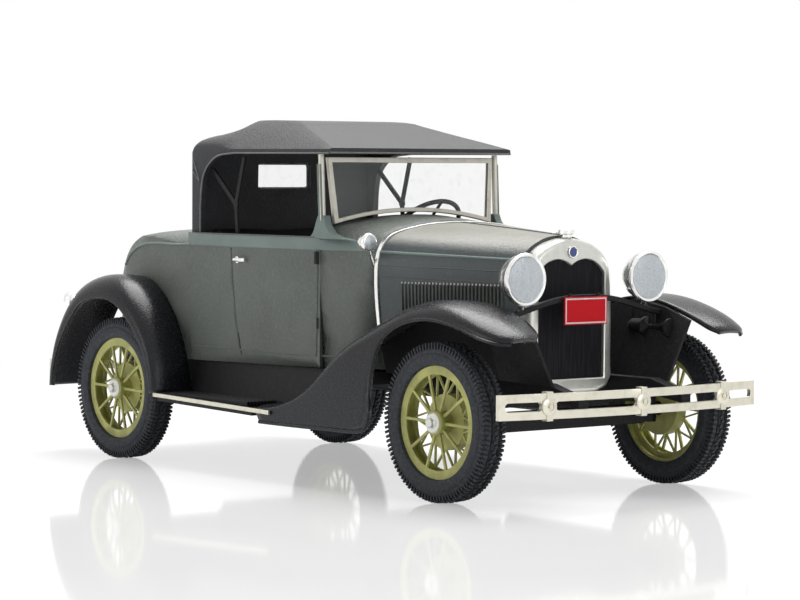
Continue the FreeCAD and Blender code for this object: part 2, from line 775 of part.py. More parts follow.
# ---- fenders -------------------------------------------------------------------------------
def fender_section(station, skin):
    """Closed crescent: inner edge, crown, rounded shoulder, skirt down to the lip and back.

    A station is (crown y, crown z), (lip y, lip z), (inner, crown and outer x), shoulder depth.
    """
    (crown_y, crown_z), (lip_y, lip_z), (inner_x, crown_x, outer_x), shoulder = station
    crown = Vector(0, crown_y, crown_z)
    down = Vector(0, lip_y - crown_y, lip_z - crown_z)
    depth = down.Length
    down = down.normalize()
    bend = min(shoulder, depth * 0.95)

    def rim_curve(inset):
        points = []
        for share in (1.0, 0.5):
            points.append((crown_x + (inner_x - crown_x) * share, 0.12 * share + inset))
        points.append((crown_x, inset))
        for angle in (32, 62, 90):
            turn = math.radians(angle)
            points.append((crown_x + (outer_x - inset - crown_x) * math.sin(turn),
                           inset + (bend - inset) * (1 - math.cos(turn))))
        points.append((outer_x - inset, depth))
        return [Vector(x, 0, 0) + crown + down * drop for x, drop in points]

    outer = rim_curve(0)
    inner = rim_curve(skin)
    return Part.Wire([curve(outer), line(outer[-1], inner[-1]), curve(inner[::-1]), line(inner[0], outer[0])])


fender_skin = 0.24
front_fender_stations = [
    ((-20.75, 8.95), (-20.55, 8.66), (6.7, 7.5, 8.35), 0.26),
    ((-20.3, 9.27), (-20.0, 8.72), (6.25, 7.5, 8.95), 0.5),
    ((-19.3, 9.78), (-19.0, 8.98), (6.0, 7.55, 9.3), 0.75),
    ((-18.0, 10.25), (-17.7, 9.38), (5.9, 7.6, 9.4), 0.85),
    ((-16.5, 10.62), (-16.2, 9.68), (5.9, 7.6, 9.42), 0.92),
    ((-15.0, 10.75), (-14.8, 9.76), (5.9, 7.6, 9.42), 0.95),
    ((-13.4, 10.6), (-13.3, 9.55), (5.95, 7.6, 9.42), 0.95),
    ((-12.0, 10.22), (-12.1, 9.15), (6.05, 7.65, 9.42), 0.95),
    ((-10.6, 9.66), (-11.15, 8.5), (6.15, 7.7, 9.42), 0.95),
    ((-9.2, 9.02), (-10.6, 7.65), (6.25, 7.75, 9.42), 0.95),
    ((-7.7, 8.3), (-10.3, 6.6), (6.35, 7.8, 9.42), 0.95),
    ((-6.35, 7.45), (-10.15, 5.4), (6.75, 7.85, 9.42), 0.9),
    ((-5.1, 6.4), (-10.1, 4.3), (7.02, 7.9, 9.42), 0.8),
    ((-3.95, 5.5), (-9.4, 3.45), (7.02, 7.95, 9.42), 0.7),
    ((-2.7, 4.85), (-6.4, 3.35), (7.02, 7.95, 9.42), 0.6),
    ((-1.2, 4.42), (-3.0, 3.32), (7.02, 7.95, 9.42), 0.5),
    ((0.4, 4.25), (-0.2, 3.32), (7.02, 7.95, 9.42), 0.4),
]
rear_fender_stations = [
    ((21.62, 4.1), (21.3, 4.1), (5.9, 8.0, 9.45), 0.3),
    ((21.5, 5.3), (21.1, 5.25), (5.8, 8.0, 9.45), 0.35),
    ((21.15, 6.8), (20.6, 6.5), (5.65, 8.0, 9.45), 0.5),
    ((20.55, 8.2), (19.85, 7.6), (5.55, 8.0, 9.45), 0.7),
    ((19.7, 9.4), (18.95, 8.6), (5.5, 8.0, 9.45), 0.85),
    ((18.6, 10.3), (18.1, 9.3), (5.85, 8.0, 9.45), 0.95),
    ((17.3, 10.78), (17.05, 9.66), (6.15, 8.0, 9.45), 1.0),
    ((15.9, 10.9), (15.9, 9.75), (6.42, 8.0, 9.45), 1.0),
    ((14.6, 10.68), (14.75, 9.6), (6.62, 8.0, 9.45), 1.0),
    ((13.4, 10.12), (13.75, 9.18), (6.78, 8.0, 9.45), 0.9),
    ((12.35, 9.3), (12.9, 8.55), (6.9, 8.0, 9.45), 0.75),
    ((11.4, 8.2), (12.05, 7.75), (6.98, 8.0, 9.45), 0.6),
    ((10.7, 7.0), (11.3, 6.8), (7.02, 8.0, 9.45), 0.45),
    ((10.25, 5.6), (10.75, 5.6), (7.02, 8.0, 9.45), 0.35),
    ((10.05, 4.28), (10.45, 4.28), (7.02, 8.0, 9.45), 0.3),
]


def fender(stations):
    return loft([fender_section(station, fender_skin) for station in stations], ruled=True)


def front_valances():
    """Inner walls of the front wheel arches, from the fender's inner edge in to the rail."""
    skin = 0.2
    lines = [
        (-19.2, (5.95, 9.45), (4.3, 6.2)), (-17.5, (5.85, 10.1), (4.3, 6.25)), (-15.0, (5.85, 10.5), (4.3, 6.35)),
        (-12.0, (6.0, 9.95), (4.6, 6.35)), (-9.5, (6.2, 8.95), (5.3, 6.35)), (-7.2, (6.3, 7.95), (5.8, 6.35)),
    ]
    sections = []
    for y, (top_x, top_z), (foot_x, foot_z) in lines:
        corners = [(top_x, top_z), (foot_x, foot_z), (foot_x - skin, foot_z), (top_x - skin, top_z)]
        points = [Vector(x, y, z) for x, z in corners]
        sections.append(Part.makePolygon(points + points[:1]))
    solid = loft(sections, ruled=True)
    return pair(solid.cut(hood()).cut(cowl()).cut(chassis()).cut(horn()).cut(headlamp_bar()))


for side_name, side in (("left", 1), ("right", -1)):
    for end_name, stations in (("front", front_fender_stations), ("rear", rear_fender_stations)):
        piece = fender(stations)
        deliver("%s_fender_%s" % (end_name, side_name), piece if side > 0 else mirrored(piece))


# ---- running boards ------------------------------------------------------------------------
def board_top_z(y):
    return 3.98 + 0.026 * (y + 1.3)


def running_boards():
    start_y, end_y = 0.55, 10.0
    profile = [
        Vector(board_inner_x, start_y, board_top_z(start_y)),
        Vector(board_inner_x, end_y, board_top_z(end_y)),
        Vector(board_inner_x, end_y, board_top_z(end_y) - board_thickness),
        Vector(board_inner_x, start_y, board_top_z(start_y) - board_thickness),
    ]
    return pair(polygon_face(profile).extrude(Vector(board_outer_x - board_inner_x, 0, 0)))


def board_strips():
    """Bright edging along the outer edge of each running board."""
    start_y, end_y = -1.3, 10.15
    x = 9.47
    height = 0.24
    profile = [
        Vector(x, start_y, board_top_z(start_y) + 0.06), Vector(x, end_y, board_top_z(end_y) + 0.06),
        Vector(x, end_y, board_top_z(end_y) + 0.06 - height), Vector(x, start_y, board_top_z(start_y) + 0.06 - height),
    ]
    return pair(polygon_face(profile).extrude(Vector(0.16, 0, 0)))


def splash_aprons():
    """Sloping skirts between the sills and the running boards."""
    sections = []
    for y, top_x in ((-5.0, 6.32), (0.5, 6.4), (10.8, 6.4)):
        low_z = board_top_z(max(y, 0.5)) - 0.2
        points = [
            Vector(top_x, y, sill_z - 0.05), Vector(board_inner_x - 0.02, y, low_z),
            Vector(board_inner_x - 0.24, y, low_z), Vector(top_x - 0.02, y, sill_z - 0.35),
        ]
        sections.append(Part.makePolygon(points + points[:1]))
    apron = loft(sections, ruled=True).cut(body_tub()).cut(fender(front_fender_stations))
    return pair(apron.cut(fender(rear_fender_stations)))


deliver("running_boards", running_boards())
deliver("board_strips", board_strips())
deliver("splash_aprons", splash_aprons())


# ---- lamps, horn, plate --------------------------------------------------------------------
def headlamps():
    """Deep drums with a rolled rim, each on a short stalk from the bar."""
    front = Vector(headlamp_x, headlamp_y - 0.06, headlamp_z)
    bowl = turned(
        [
            (0.08, 0), (0.08, lens_radius), (0, lens_radius + 0.03), (0, headlamp_radius - 0.05),
            (0.07, headlamp_radius), (0.22, headlamp_radius), (0.28, headlamp_radius - 0.06),
            (0.6, 1.3), (0.95, 1.14), (1.3, 0.88), (1.6, 0.5), (1.74, 0.2), (1.76, 0),
        ],
        front, Vector(0, 1, 0),
    )
    stalk = rod(Vector(headlamp_x, -16.95, 10.02), Vector(headlamp_x, -16.95, headlamp_z - 1.2), 0.2)
    return pair(merge([bowl, stalk]).cut(headlamp_bar()))


def headlamp_lenses():
    front = Vector(headlamp_x, headlamp_y + 0.02, headlamp_z)
    lens = turned([(0, 0), (0, lens_radius - 0.02), (0.05, lens_radius - 0.02), (0.13, lens_radius * 0.6), (0.16, 0)],
                  front, Vector(0, -1, 0))
    return pair(lens)


bar_points = [(-6.3, 9.68), (-5.2, 9.9), (-3.9, 10.24), (-1.95, 10.68), (0, 10.8)]


def headlamp_bar():
    """Bar between the fenders that carries the lamps, the plate and the horn."""
    depth = 0.3
    half = 0.15
    y = -17.15
    centre = [(x, z) for x, z in bar_points] + [(-x, z) for x, z in bar_points[-2::-1]]
    upper = [Vector(x, y, z + half) for x, z in centre]
    lower = [Vector(x, y, z - half) for x, z in centre]
    outline = Part.Wire([curve(upper), line(upper[-1], lower[-1]), curve(lower[::-1]), line(lower[0], upper[0])])
    return Part.Face(outline).extrude(Vector(0, depth, 0))


def horn():
    mouth = Vector(5.25, -18.25, 9.02)
    body = turned(
        [
            (0, 0), (0, 0.34), (0.0, 0.5), (0.1, 0.52), (0.3, 0.4), (0.75, 0.2), (1.5, 0.15), (1.75, 0.15),
            (1.78, 0.56), (1.95, 0.56), (2.0, 0.42), (2.9, 0.42), (3.1, 0.3), (3.15, 0),
        ],
        mouth, Vector(0, 1, 0),
    )
    hanger = rod(Vector(5.25, -17.0, 9.05), Vector(5.25, -17.0, 9.95), 0.09)
    return merge([body, hanger]).cut(headlamp_bar())


def licence_plate():
    centre_x = -0.2
    half = 1.55
    plate = box((centre_x - half, -17.36, 9.33), (centre_x + half, -17.26, 10.82))
    tabs = [box((centre_x + x - 0.12, -17.26, 10.5), (centre_x + x + 0.12, -17.15, 11.0)) for x in (-1.05, 1.05)]
    return merge([plate] + tabs)


def cowl_lamps():
    front = Vector(6.95, -7.12, 13.6)
    body = turned([(0, 0), (0, 0.4), (0.06, 0.5), (0.2, 0.5), (0.6, 0.42), (0.95, 0.22), (1.05, 0)],
                  front, Vector(0, 1, 0))
    arm = rod(Vector(6.85, -6.72, 13.45), Vector(6.0, -6.3, 12.15), 0.1)
    return pair(merge([body, arm]).cut(cowl()).cut(cowl_band()))


def tail_lamps():
    rear = Vector(8.62, 20.85, 9.45)
    body = turned([(0, 0), (0.02, 0.3), (0.12, 0.42), (0.3, 0.44), (0.55, 0.36), (0.72, 0.14), (1.25, 0.14), (1.25, 0)],
                  rear, Vector(0, -1, 0))
    return pair(body.cut(fender(rear_fender_stations)))


deliver("headlamps", headlamps())
deliver("headlamp_lenses", headlamp_lenses())
deliver("headlamp_bar", headlamp_bar())
deliver("horn", horn())
deliver("front_valances", front_valances())
deliver("licence_plate", licence_plate())
deliver("cowl_lamps", cowl_lamps())
deliver("tail_lamps", tail_lamps())


# ---- bumpers -------------------------------------------------------------------------------
def slot(low_x, high_x, low_z, high_z, low_y, high_y):
    block = box((low_x, low_y, low_z), (high_x, high_y, high_z))
    radius = (high_z - low_z) * 0.45
    ends = [edge for edge in block.Edges if edge.BoundBox.YLength > (high_y - low_y) * 0.9]
    return block.makeFillet(radius, ends)


def bumper_blade(front_points, low_z, high_z, thickness):
    back = [Vector(p.x, p.y + thickness, p.z) for p in front_points]
    outline = Part.Wire([
        curve(front_points), line(front_points[-1], back[-1]), curve(back[::-1]), line(back[0], front_points[0]),
    ])
    return Part.Face(outline).extrude(Vector(0, 0, high_z - low_z))


def bow_y(x):
    """How far the front bumper's blade has curved back at a distance from the middle."""
    return front_end_y + 0.07 + 0.95 * (abs(x) / 9.3) ** 2.2


def front_bumper():
    """Slotted blade, three clamps, and the arms that reach in to the frame's horns."""
    stations = (-9.3, -7.8, -5.5, -2.8, 0, 2.8, 5.5, 7.8, 9.3)
    blade = bumper_blade([Vector(x, bow_y(x), bumper_low_z) for x in stations],
                         bumper_low_z, bumper_top_z, bumper_thickness)
    bar = 0.43
    for low_x, high_x in ((-8.95, -6.75), (-5.9, -0.4), (0.4, 5.9), (6.75, 8.95)):
        blade = blade.cut(slot(low_x, high_x, bumper_low_z + bar, bumper_top_z - bar, -23, -19))
    parts = [blade]
    for x in (-6.32, 0, 6.32):
        y = bow_y(x)
        parts.append(box((x - 0.2, y - 0.07, bumper_low_z - 0.1), (x + 0.2, y + 0.4, bumper_top_z + 0.1)))
    for side in (-1, 1):
        corners = [(3.45, -20.9), (4.05, -21.06), (6.3, bow_y(6.32) + 0.3), (6.1, bow_y(6.32) + 0.2), (3.45, -21.12)]
        arm = polygon_face([Vector(side * x, y, bumper_low_z) for x, y in corners])
        parts.append(arm.extrude(Vector(0, 0, bar - 0.03)))
    return merge(parts).cut(chassis())


def rear_bumpers():
    """Two short blades behind the rear fenders, leaving the middle clear."""
    stations = (4.7, 6.2, 7.8, 8.7, 9.2)
    drop = (0.0, 0.0, 0.22, 0.6, 1.05)
    points = [Vector(x, rear_end_y - bumper_thickness - d, 4.25) for x, d in zip(stations, drop)]
    blade = bumper_blade(points, 4.25, 5.7, bumper_thickness)
    blade = blade.cut(slot(5.1, 8.6, 4.7, 5.25, 20, 25))
    arm = polygon_face([
        Vector(3.5, 21.25, 4.9), Vector(4.1, 21.25, 4.9),
        Vector(5.4, rear_end_y - 0.2, 4.9), Vector(4.9, rear_end_y - 0.2, 4.9),
    ]).extrude(Vector(0, 0, 0.4))
    drop_link = box((3.5, 20.9, 4.9), (4.1, 21.4, 5.5))
    return pair(merge([blade, arm, drop_link]))


deliver("front_bumper", front_bumper())
deliver("rear_bumpers", rear_bumpers())


# ---- output --------------------------------------------------------------------------------
def export_all():
    os.makedirs("parts", exist_ok=True)
    for name, shape in pieces.items():
        shape.exportStep("parts/%s.step" % name)
        print(name, "valid" if shape.isValid() else "BROKEN", "solids", len(shape.Solids), round(shape.Volume, 3))


export_all()
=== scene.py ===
"""Looks for a small scale-model roadster: paint, etched metal, rubber and the studio round it.

Sizes in the tables are in millimetres from the middle of the wheelbase, -Y to the front, +X to
the car's left, +Z up from the ground. at() turns them into metres in the frame's own axes.
"""

import json
import math

import bmesh
import bpy
import numpy as np
from bpy.props import FloatProperty, FloatVectorProperty, IntProperty, PointerProperty
from mathutils import Matrix, Vector
from mathutils.bvhtree import BVHTree

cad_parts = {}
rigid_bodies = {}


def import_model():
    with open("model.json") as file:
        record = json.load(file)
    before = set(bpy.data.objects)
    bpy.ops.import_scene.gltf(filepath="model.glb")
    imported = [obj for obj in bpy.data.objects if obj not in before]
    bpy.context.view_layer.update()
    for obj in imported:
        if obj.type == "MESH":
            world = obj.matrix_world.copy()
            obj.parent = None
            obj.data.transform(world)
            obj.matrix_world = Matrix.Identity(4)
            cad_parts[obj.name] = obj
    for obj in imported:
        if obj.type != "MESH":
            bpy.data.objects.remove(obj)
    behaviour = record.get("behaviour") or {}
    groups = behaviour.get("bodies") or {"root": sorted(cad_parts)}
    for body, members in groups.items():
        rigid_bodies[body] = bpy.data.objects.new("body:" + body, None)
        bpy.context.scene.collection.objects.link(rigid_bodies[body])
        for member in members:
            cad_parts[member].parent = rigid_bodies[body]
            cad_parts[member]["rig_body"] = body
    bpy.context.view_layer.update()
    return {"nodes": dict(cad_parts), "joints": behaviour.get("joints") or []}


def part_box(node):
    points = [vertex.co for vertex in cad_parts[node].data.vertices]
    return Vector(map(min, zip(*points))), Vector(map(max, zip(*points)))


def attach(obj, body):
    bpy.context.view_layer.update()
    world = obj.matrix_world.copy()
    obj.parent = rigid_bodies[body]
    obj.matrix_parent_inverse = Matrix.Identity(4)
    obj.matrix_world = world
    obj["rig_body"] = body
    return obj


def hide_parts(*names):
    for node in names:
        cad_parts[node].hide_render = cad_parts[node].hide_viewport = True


bl_info = {
    "name": "Scale-model roadster",
    "version": (1, 0, 0),
    "blender": (4, 5, 0),
    "location": "View3D > Sidebar > Roadster",
    "description": "Builds the painted shell, wheels, top and fittings of a small roadster model",
    "category": "Add Mesh",
}

MM = 0.001

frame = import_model()
wheel_places = {joint["child"]: Vector(joint["pos_m"]) for joint in frame["joints"]}
middle_y = sum(place.y for place in wheel_places.values()) / len(wheel_places)


def at(x, y, z):
    return Vector((x * MM, y * MM + middle_y, z * MM))


# ---- sizes and colours that a user would change -------------------------------------------
def colour(name, description, value):
    return FloatVectorProperty(
        name=name, description=description, default=value, subtype="COLOR", size=3, min=0, max=1)


class PaintSettings(bpy.types.PropertyGroup):
    body: colour("Body", "Grey-green of the doors, hood and tail", (0.118, 0.131, 0.118))
    belt: colour("Belt", "Blue-green of the moulding at the door tops", (0.165, 0.215, 0.198))
    fender: colour("Fenders", "Near-black of the fenders and running gear", (0.006, 0.006, 0.008))
    top: colour("Top", "Charcoal of the folding top", (0.03, 0.031, 0.036))
    wheel: colour("Wheels", "Yellow-green of the etched wheels", (0.47, 0.47, 0.15))
    plate: colour("Plate", "Red of the bare licence plate", (0.60, 0.006, 0.014))
    badge: colour("Badge", "Dark blue of the round badge", (0.015, 0.04, 0.22))


class DetailSettings(bpy.types.PropertyGroup):
    louvres: IntProperty(
        name="Louvres", description="Louvres on each side of the hood", default=29, min=4, max=60)
    tread_blocks: IntProperty(
        name="Tread blocks", description="Blocks round each shoulder of a tyre", default=104, min=12, max=200)
    skin: FloatProperty(
        name="Fender thickness", description="Thickness of the fenders' skin",
        default=0.22 * MM, min=0.05 * MM, max=1 * MM, unit="LENGTH")


class StageSettings(bpy.types.PropertyGroup):
    key_power: FloatProperty(
        name="Key power", description="Power of the large light above the car",
        default=0.62, min=0, max=10, unit="POWER")
    fill_power: FloatProperty(
        name="Fill power", description="Power of the side lights", default=0.07, min=0, max=10, unit="POWER")
    ambient: FloatProperty(
        name="Ambient", description="Strength of the soft light from all round", default=0.36, min=0, max=2)


def paints():
    return bpy.context.scene.roadster_paint


def details():
    return bpy.context.scene.roadster_detail


def stage_settings():
    return bpy.context.scene.roadster_stage


# ---- shader building ----------------------------------------------------------------------
class Signal:
    """A value socket that can be used in Python expressions."""

    def __init__(self, graph, socket):
        self.graph = graph
        self.socket = socket

    def _math(self, operation, first, second):
        node = self.graph.add("ShaderNodeMath", {"operation": operation}, {0: first, 1: second})
        return Signal(self.graph, node.outputs[0])

    def __add__(self, other):
        return self._math("ADD", self, other)

    __radd__ = __add__

    def __mul__(self, other):
        return self._math("MULTIPLY", self, other)

    __rmul__ = __mul__

    def __sub__(self, other):
        return self._math("SUBTRACT", self, other)

    def __rsub__(self, other):
        return self._math("SUBTRACT", other, self)

    def above(self, other):
        return self._math("GREATER_THAN", self, other)

    def most(self, other):
        return self._math("MAXIMUM", self, other)

    def least(self, other):
        return self._math("MINIMUM", self, other)

    def size(self):
        return self._math("ABSOLUTE", self, 0)


class Graph:
    """One material's nodes, with the pieces that every finish here uses."""

    def __init__(self, name):
        self.material = bpy.data.materials.new(name)
        self.material.use_nodes = True
        self.tree = self.material.node_tree
        self.tree.nodes.clear()
        self.shader = self.add("ShaderNodeBsdfPrincipled")
        self.output = self.add("ShaderNodeOutputMaterial", {}, {"Surface": self.shader.outputs[0]})
        texture = self.add("ShaderNodeTexCoord")
        in_mm = {0: texture.outputs["Object"], "Scale": 1 / MM}
        scaled = self.add("ShaderNodeVectorMath", {"operation": "SCALE"}, in_mm)
        self.place = scaled.outputs[0]

    def add(self, kind, settings=None, sockets=None):
        node = self.tree.nodes.new(kind)
        for key, value in (settings or {}).items():
            setattr(node, key, value)
        for key, value in (sockets or {}).items():
            self.feed(node.inputs[key], value)
        return node

    def feed(self, socket, value):
        if isinstance(value, Signal):
            value = value.socket
        if isinstance(value, bpy.types.NodeSocket):
            self.tree.links.new(value, socket)
        elif socket.type == "RGBA" and len(value) == 3:
            socket.default_value = (*value, 1)
        else:
            socket.default_value = value

    def noise(self, per_mm, detail=3.0, roughness=0.55, stretch=None):
        place = self.place
        if stretch:
            place = self.add("ShaderNodeVectorMath", {"operation": "MULTIPLY"}, {0: place, 1: stretch}).outputs[0]
        node = self.add("ShaderNodeTexNoise", {}, {
            "Vector": place, "Scale": per_mm, "Detail": detail, "Roughness": roughness})
        return Signal(self, node.outputs["Fac"])

    def cells(self, per_mm):
        node = self.add("ShaderNodeTexVoronoi", {}, {"Vector": self.place, "Scale": per_mm})
        return Signal(self, node.outputs["Distance"])

    def stepped(self, signal, low, high):
        """0 below low and 1 above high."""
        node = self.add("ShaderNodeMapRange", {"clamp": True}, {0: signal, 1: low, 2: high, 3: 0.0, 4: 1.0})
        return Signal(self, node.outputs[0])

    def axis(self, letter):
        node = self.add("ShaderNodeSeparateXYZ", {}, {0: self.place})
        return Signal(self, node.outputs["XYZ".index(letter)])

    def facing_up(self):
        geometry = self.add("ShaderNodeNewGeometry")
        node = self.add("ShaderNodeSeparateXYZ", {}, {0: geometry.outputs["Normal"]})
        return Signal(self, node.outputs[2])

    def attribute(self, name):
        node = self.add("ShaderNodeAttribute", {"attribute_name": name})
        return Signal(self, node.outputs["Fac"])

    def blend(self, factor, first, second):
        node = self.add("ShaderNodeMix", {"data_type": "RGBA"}, {0: factor, 6: first, 7: second})
        return node.outputs[2]

    def bump(self, height, depth_mm, strength=1.0):
        node = self.add("ShaderNodeBump", {}, {"Height": height, "Distance": depth_mm * MM, "Strength": strength})
        self.feed(self.shader.inputs["Normal"], node.outputs[0])

    def finish(self, **sockets):
        for key, value in sockets.items():
            self.feed(self.shader.inputs[key.replace("_", " ")], value)
        return self.material


def tinted(shade, factor):
    return tuple(min(1.0, part * factor) for part in shade)


def blended(first, second, share):
    return tuple(a + (b - a) * share for a, b in zip(first, second))


def cast_paint(name, shade, lift=1.45, grain=7.0, gloss=0.42, relief=0.012, shine=0.5, crown=None):
    """Airbrushed paint on a cast part: cloudy tone, a dusting of lighter specks and a fine orange
    peel. The specks show more on upward faces, partly dust and partly a painted highlight of the
    light from above. crown is a painted highlight: the paler tone that the paint fades to where it faces up."""
    graph = Graph(name)
    cloud = graph.noise(0.35, 4.0)
    dust = graph.stepped(graph.noise(grain, 2.0, 0.7), 0.48, 0.72)
    # Lighter specks weigh more on upward faces: partly dust, partly a painted highlight of the light from above.
    top_dust_and_light = graph.stepped(graph.facing_up(), 0.1, 0.9) * 0.5 + 0.25
    base = graph.blend(graph.stepped(cloud, 0.3, 0.7), tinted(shade, 0.86), tinted(shade, 1.1))
    base = graph.blend(dust * top_dust_and_light, base, tinted(shade, lift))
    # Painted highlight: upward faces fade to the paler crown tone, standing in for light from above.
    if crown:
        base = graph.blend(graph.stepped(graph.facing_up(), 0.55, 0.95), base, crown)
    graph.bump(graph.noise(grain, 2.0, 0.7) + graph.noise(2.2, 2.0) * 0.6, relief)
    rough = graph.noise(grain * 0.7, 2.0) * 0.24 + (gloss - 0.12)
    return graph.finish(Base_Color=base, Roughness=rough, Metallic=0.0, IOR=1.5, Specular_IOR_Level=shine)


def fender_paint():
    """Semi-gloss black: pin-point specks, a painted bluish reflection low down, and rubbed metal along the lips."""
    shade = tuple(paints().fender)
    graph = Graph("fender_black")
    specks = graph.stepped(graph.noise(9.0, 1.5, 0.8), 0.52, 0.7)
    # Painted reflection: a bluish tint that grows towards the bottom of the fender, from 8.5 mm down.
    low = 1 - graph.stepped(graph.axis("Z"), 4.5, 8.5)
    blue = blended(shade, (0.03, 0.045, 0.08), 0.6)
    base = graph.blend(low * 0.15, shade, blue)
    base = graph.blend(specks * 0.03, base, (0.4, 0.42, 0.45))
    worn = graph.stepped(graph.attribute("lip") * 0.9 + graph.noise(1.8, 3.0) * 0.5, 0.82, 1.12)
    base = graph.blend(worn * 0.4, base, (0.16, 0.155, 0.145))
    graph.bump(graph.noise(8.0, 1.5, 0.8), 0.014)
    rough = graph.noise(5.0, 2.0) * 0.2 + 0.16
    return graph.finish(Base_Color=base, Roughness=rough, Metallic=0.0, IOR=1.5, Specular_IOR_Level=0.28)


def top_cloth():
    """Charcoal paint over a cast cloth top: sandy grain, rubbed light along the edges, and upward faces painted
    paler: partly pale dust, partly a painted sheen of the light from above.
    """
    shade = tuple(paints().top)
    graph = Graph("top_charcoal")
    sand = graph.noise(8.5, 2.0, 0.75)
    patch = graph.stepped(graph.noise(0.5, 3.0), 0.35, 0.7)
    base = graph.blend(patch, tinted(shade, 0.8), tinted(shade, 1.2))
    # Pale dust weighted towards upward faces, where it also serves as a painted highlight of the light from above.
    dusty = graph.stepped(sand, 0.5, 0.72) * (graph.stepped(graph.facing_up(), 0.05, 0.8) * 0.5 + 0.16)
    base = graph.blend(dusty, base, (0.16, 0.156, 0.15))
    # Painted sheen: upward faces turn paler, standing in for light from above.
    painted_top_sheen = graph.stepped(graph.facing_up(), 0.5, 0.97)
    base = graph.blend(painted_top_sheen * (sand * 0.9 + 0.1), base, (0.072, 0.069, 0.065))
    worn = graph.stepped(graph.attribute("lip") + graph.noise(2.5, 3.0) * 0.5, 0.95, 1.2)
    base = graph.blend(worn * 0.5, base, (0.3, 0.3, 0.3))
    graph.bump(sand, 0.05)
    return graph.finish(Base_Color=base, Roughness=sand * 0.2 + 0.38, Metallic=0.0, IOR=1.5, Specular_IOR_Level=0.3)


def bright_metal(name, shade=(0.88, 0.88, 0.86), rough=0.14, tarnish=(0.42, 0.40, 0.36), amount=0.4,
                 plated=0.9):
    """Plated or foil-covered metal with a little tarnish in its hollows."""
    graph = Graph(name)
    stain = graph.stepped(graph.noise(1.3, 4.0), 0.5, 0.8)
    base = graph.blend(stain * amount, shade, tarnish)
    graph.bump(graph.noise(1.6, 2.0), 0.008)
    return graph.finish(Base_Color=base, Roughness=graph.noise(2.0, 2.0) * 0.14 + rough, Metallic=plated)


def wheel_paint():
    """Yellow-green enamel on etched brass, olive in the hollows and thin at the edges."""
    shade = tuple(paints().wheel)
    graph = Graph("wheel_green")
    cloud = graph.stepped(graph.noise(1.0, 4.0), 0.35, 0.7)
    base = graph.blend(cloud, tinted(shade, 0.7), tinted(shade, 1.1))
    chips = graph.stepped(graph.noise(4.0, 2.0), 0.66, 0.74)
    base = graph.blend(chips * 0.4, base, (0.2, 0.19, 0.06))
    graph.bump(graph.noise(6.0, 2.0), 0.01)
    return graph.finish(Base_Color=base, Roughness=graph.noise(3.0) * 0.2 + 0.4, Metallic=0.0)


def tyre_rubber():
    """Dark blue-grey rubber, dusty on its sidewalls."""
    graph = Graph("tyre_rubber")
    dust = graph.stepped(graph.noise(5.0, 4.0, 0.7), 0.45, 0.75)
    base = graph.blend(graph.noise(0.8, 3.0), (0.021, 0.024, 0.029), (0.034, 0.038, 0.045))
    base = graph.blend(dust * 0.4, base, (0.12, 0.125, 0.13))
    graph.bump(graph.noise(7.0, 3.0, 0.7), 0.025)
    rough = graph.noise(3.0) * 0.15 + 0.6
    return graph.finish(Base_Color=base, Roughness=rough, Metallic=0.0, Specular_IOR_Level=0.25)


def lamp_glass():
    """Pale cast lens with vertical flutes under a hammered surface."""
    graph = Graph("lamp_lens")
    flutes = graph.noise(1.0, 1.0, 0.4, (9.0, 9.0, 0.8))
    cells = graph.cells(8.0)
    base = graph.blend(flutes * 0.6 + cells * 0.5, (0.66, 0.70, 0.73), (0.42, 0.46, 0.50))
    graph.bump(flutes + cells * 0.5, 0.02)
    return graph.finish(Base_Color=base, Roughness=graph.noise(2.0) * 0.1 + 0.24, Metallic=0.3, Coat_Weight=0.6)


def pane_glass():
    """Clear pane with a faint dusty bloom."""
    graph = Graph("pane_glass")
    dust = graph.stepped(graph.noise(1.8, 5.0, 0.7), 0.5, 0.85)
    return graph.finish(Base_Color=(0.8, 0.83, 0.82), Roughness=graph.noise(2.0) * 0.04 + 0.03, Metallic=0.0,
                        Alpha=dust * 0.07 + 0.07, Coat_Weight=0.0)


def core_black():
    """Radiator honeycomb: near-black upright fins crossed by finer rows."""
    graph = Graph("radiator_core")
    across = graph.noise(1.0, 1.0, 0.4, (9.0, 9.0, 0.6))
    base = graph.blend(graph.stepped(across, 0.45, 0.62), (0.004, 0.004, 0.006), (0.012, 0.012, 0.016))
    graph.bump(across, 0.012)
    return graph.finish(Base_Color=base, Roughness=across * 0.2 + 0.55, Metallic=0.0, Specular_IOR_Level=0.15)


def cabin_black():
    """Flat black paint inside the cabin, dusty in the creases."""
    graph = Graph("cabin_black")
    dust = graph.stepped(graph.noise(6.0, 3.0, 0.7), 0.5, 0.8)
    base = graph.blend(dust * 0.3, (0.003, 0.003, 0.004), (0.02, 0.02, 0.024))
    graph.bump(graph.noise(5.0, 3.0), 0.02)
    rough = graph.noise(3.0) * 0.2 + 0.5
    return graph.finish(Base_Color=base, Roughness=rough, Metallic=0.0, Specular_IOR_Level=0.15)


def plate_enamel(centre, half_wide, half_high):
    """Red enamel with a pale border line, worked out from the distance to the plate's edge."""
    graph = Graph("plate_red")
    from_side = half_wide / MM - (graph.axis("X") - centre.x / MM).size()
    from_top = half_high / MM - (graph.axis("Z") - centre.z / MM).size()
    inward = from_side.least(from_top)
    line = inward.above(0.06) * (1 - inward.above(0.14))
    base = graph.blend(line, tuple(paints().plate), (0.85, 0.72, 0.72))
    base = graph.blend(from_top.above(-0.02), (0.01, 0.01, 0.01), base)
    graph.bump(line + graph.noise(5.0) * 0.4, 0.01)
    rough = graph.noise(3.0) * 0.1 + 0.4
    return graph.finish(Base_Color=base, Roughness=rough, Metallic=0.0, Specular_IOR_Level=0.15)


def badge_enamel():
    graph = Graph("badge_blue")
    base = graph.blend(graph.noise(6.0), tinted(paints().badge, 0.8), tinted(paints().badge, 1.3))
    return graph.finish(Base_Color=base, Roughness=graph.noise(3.0) * 0.1 + 0.15, Metallic=0.0, Coat_Weight=0.6)


finishes = {}


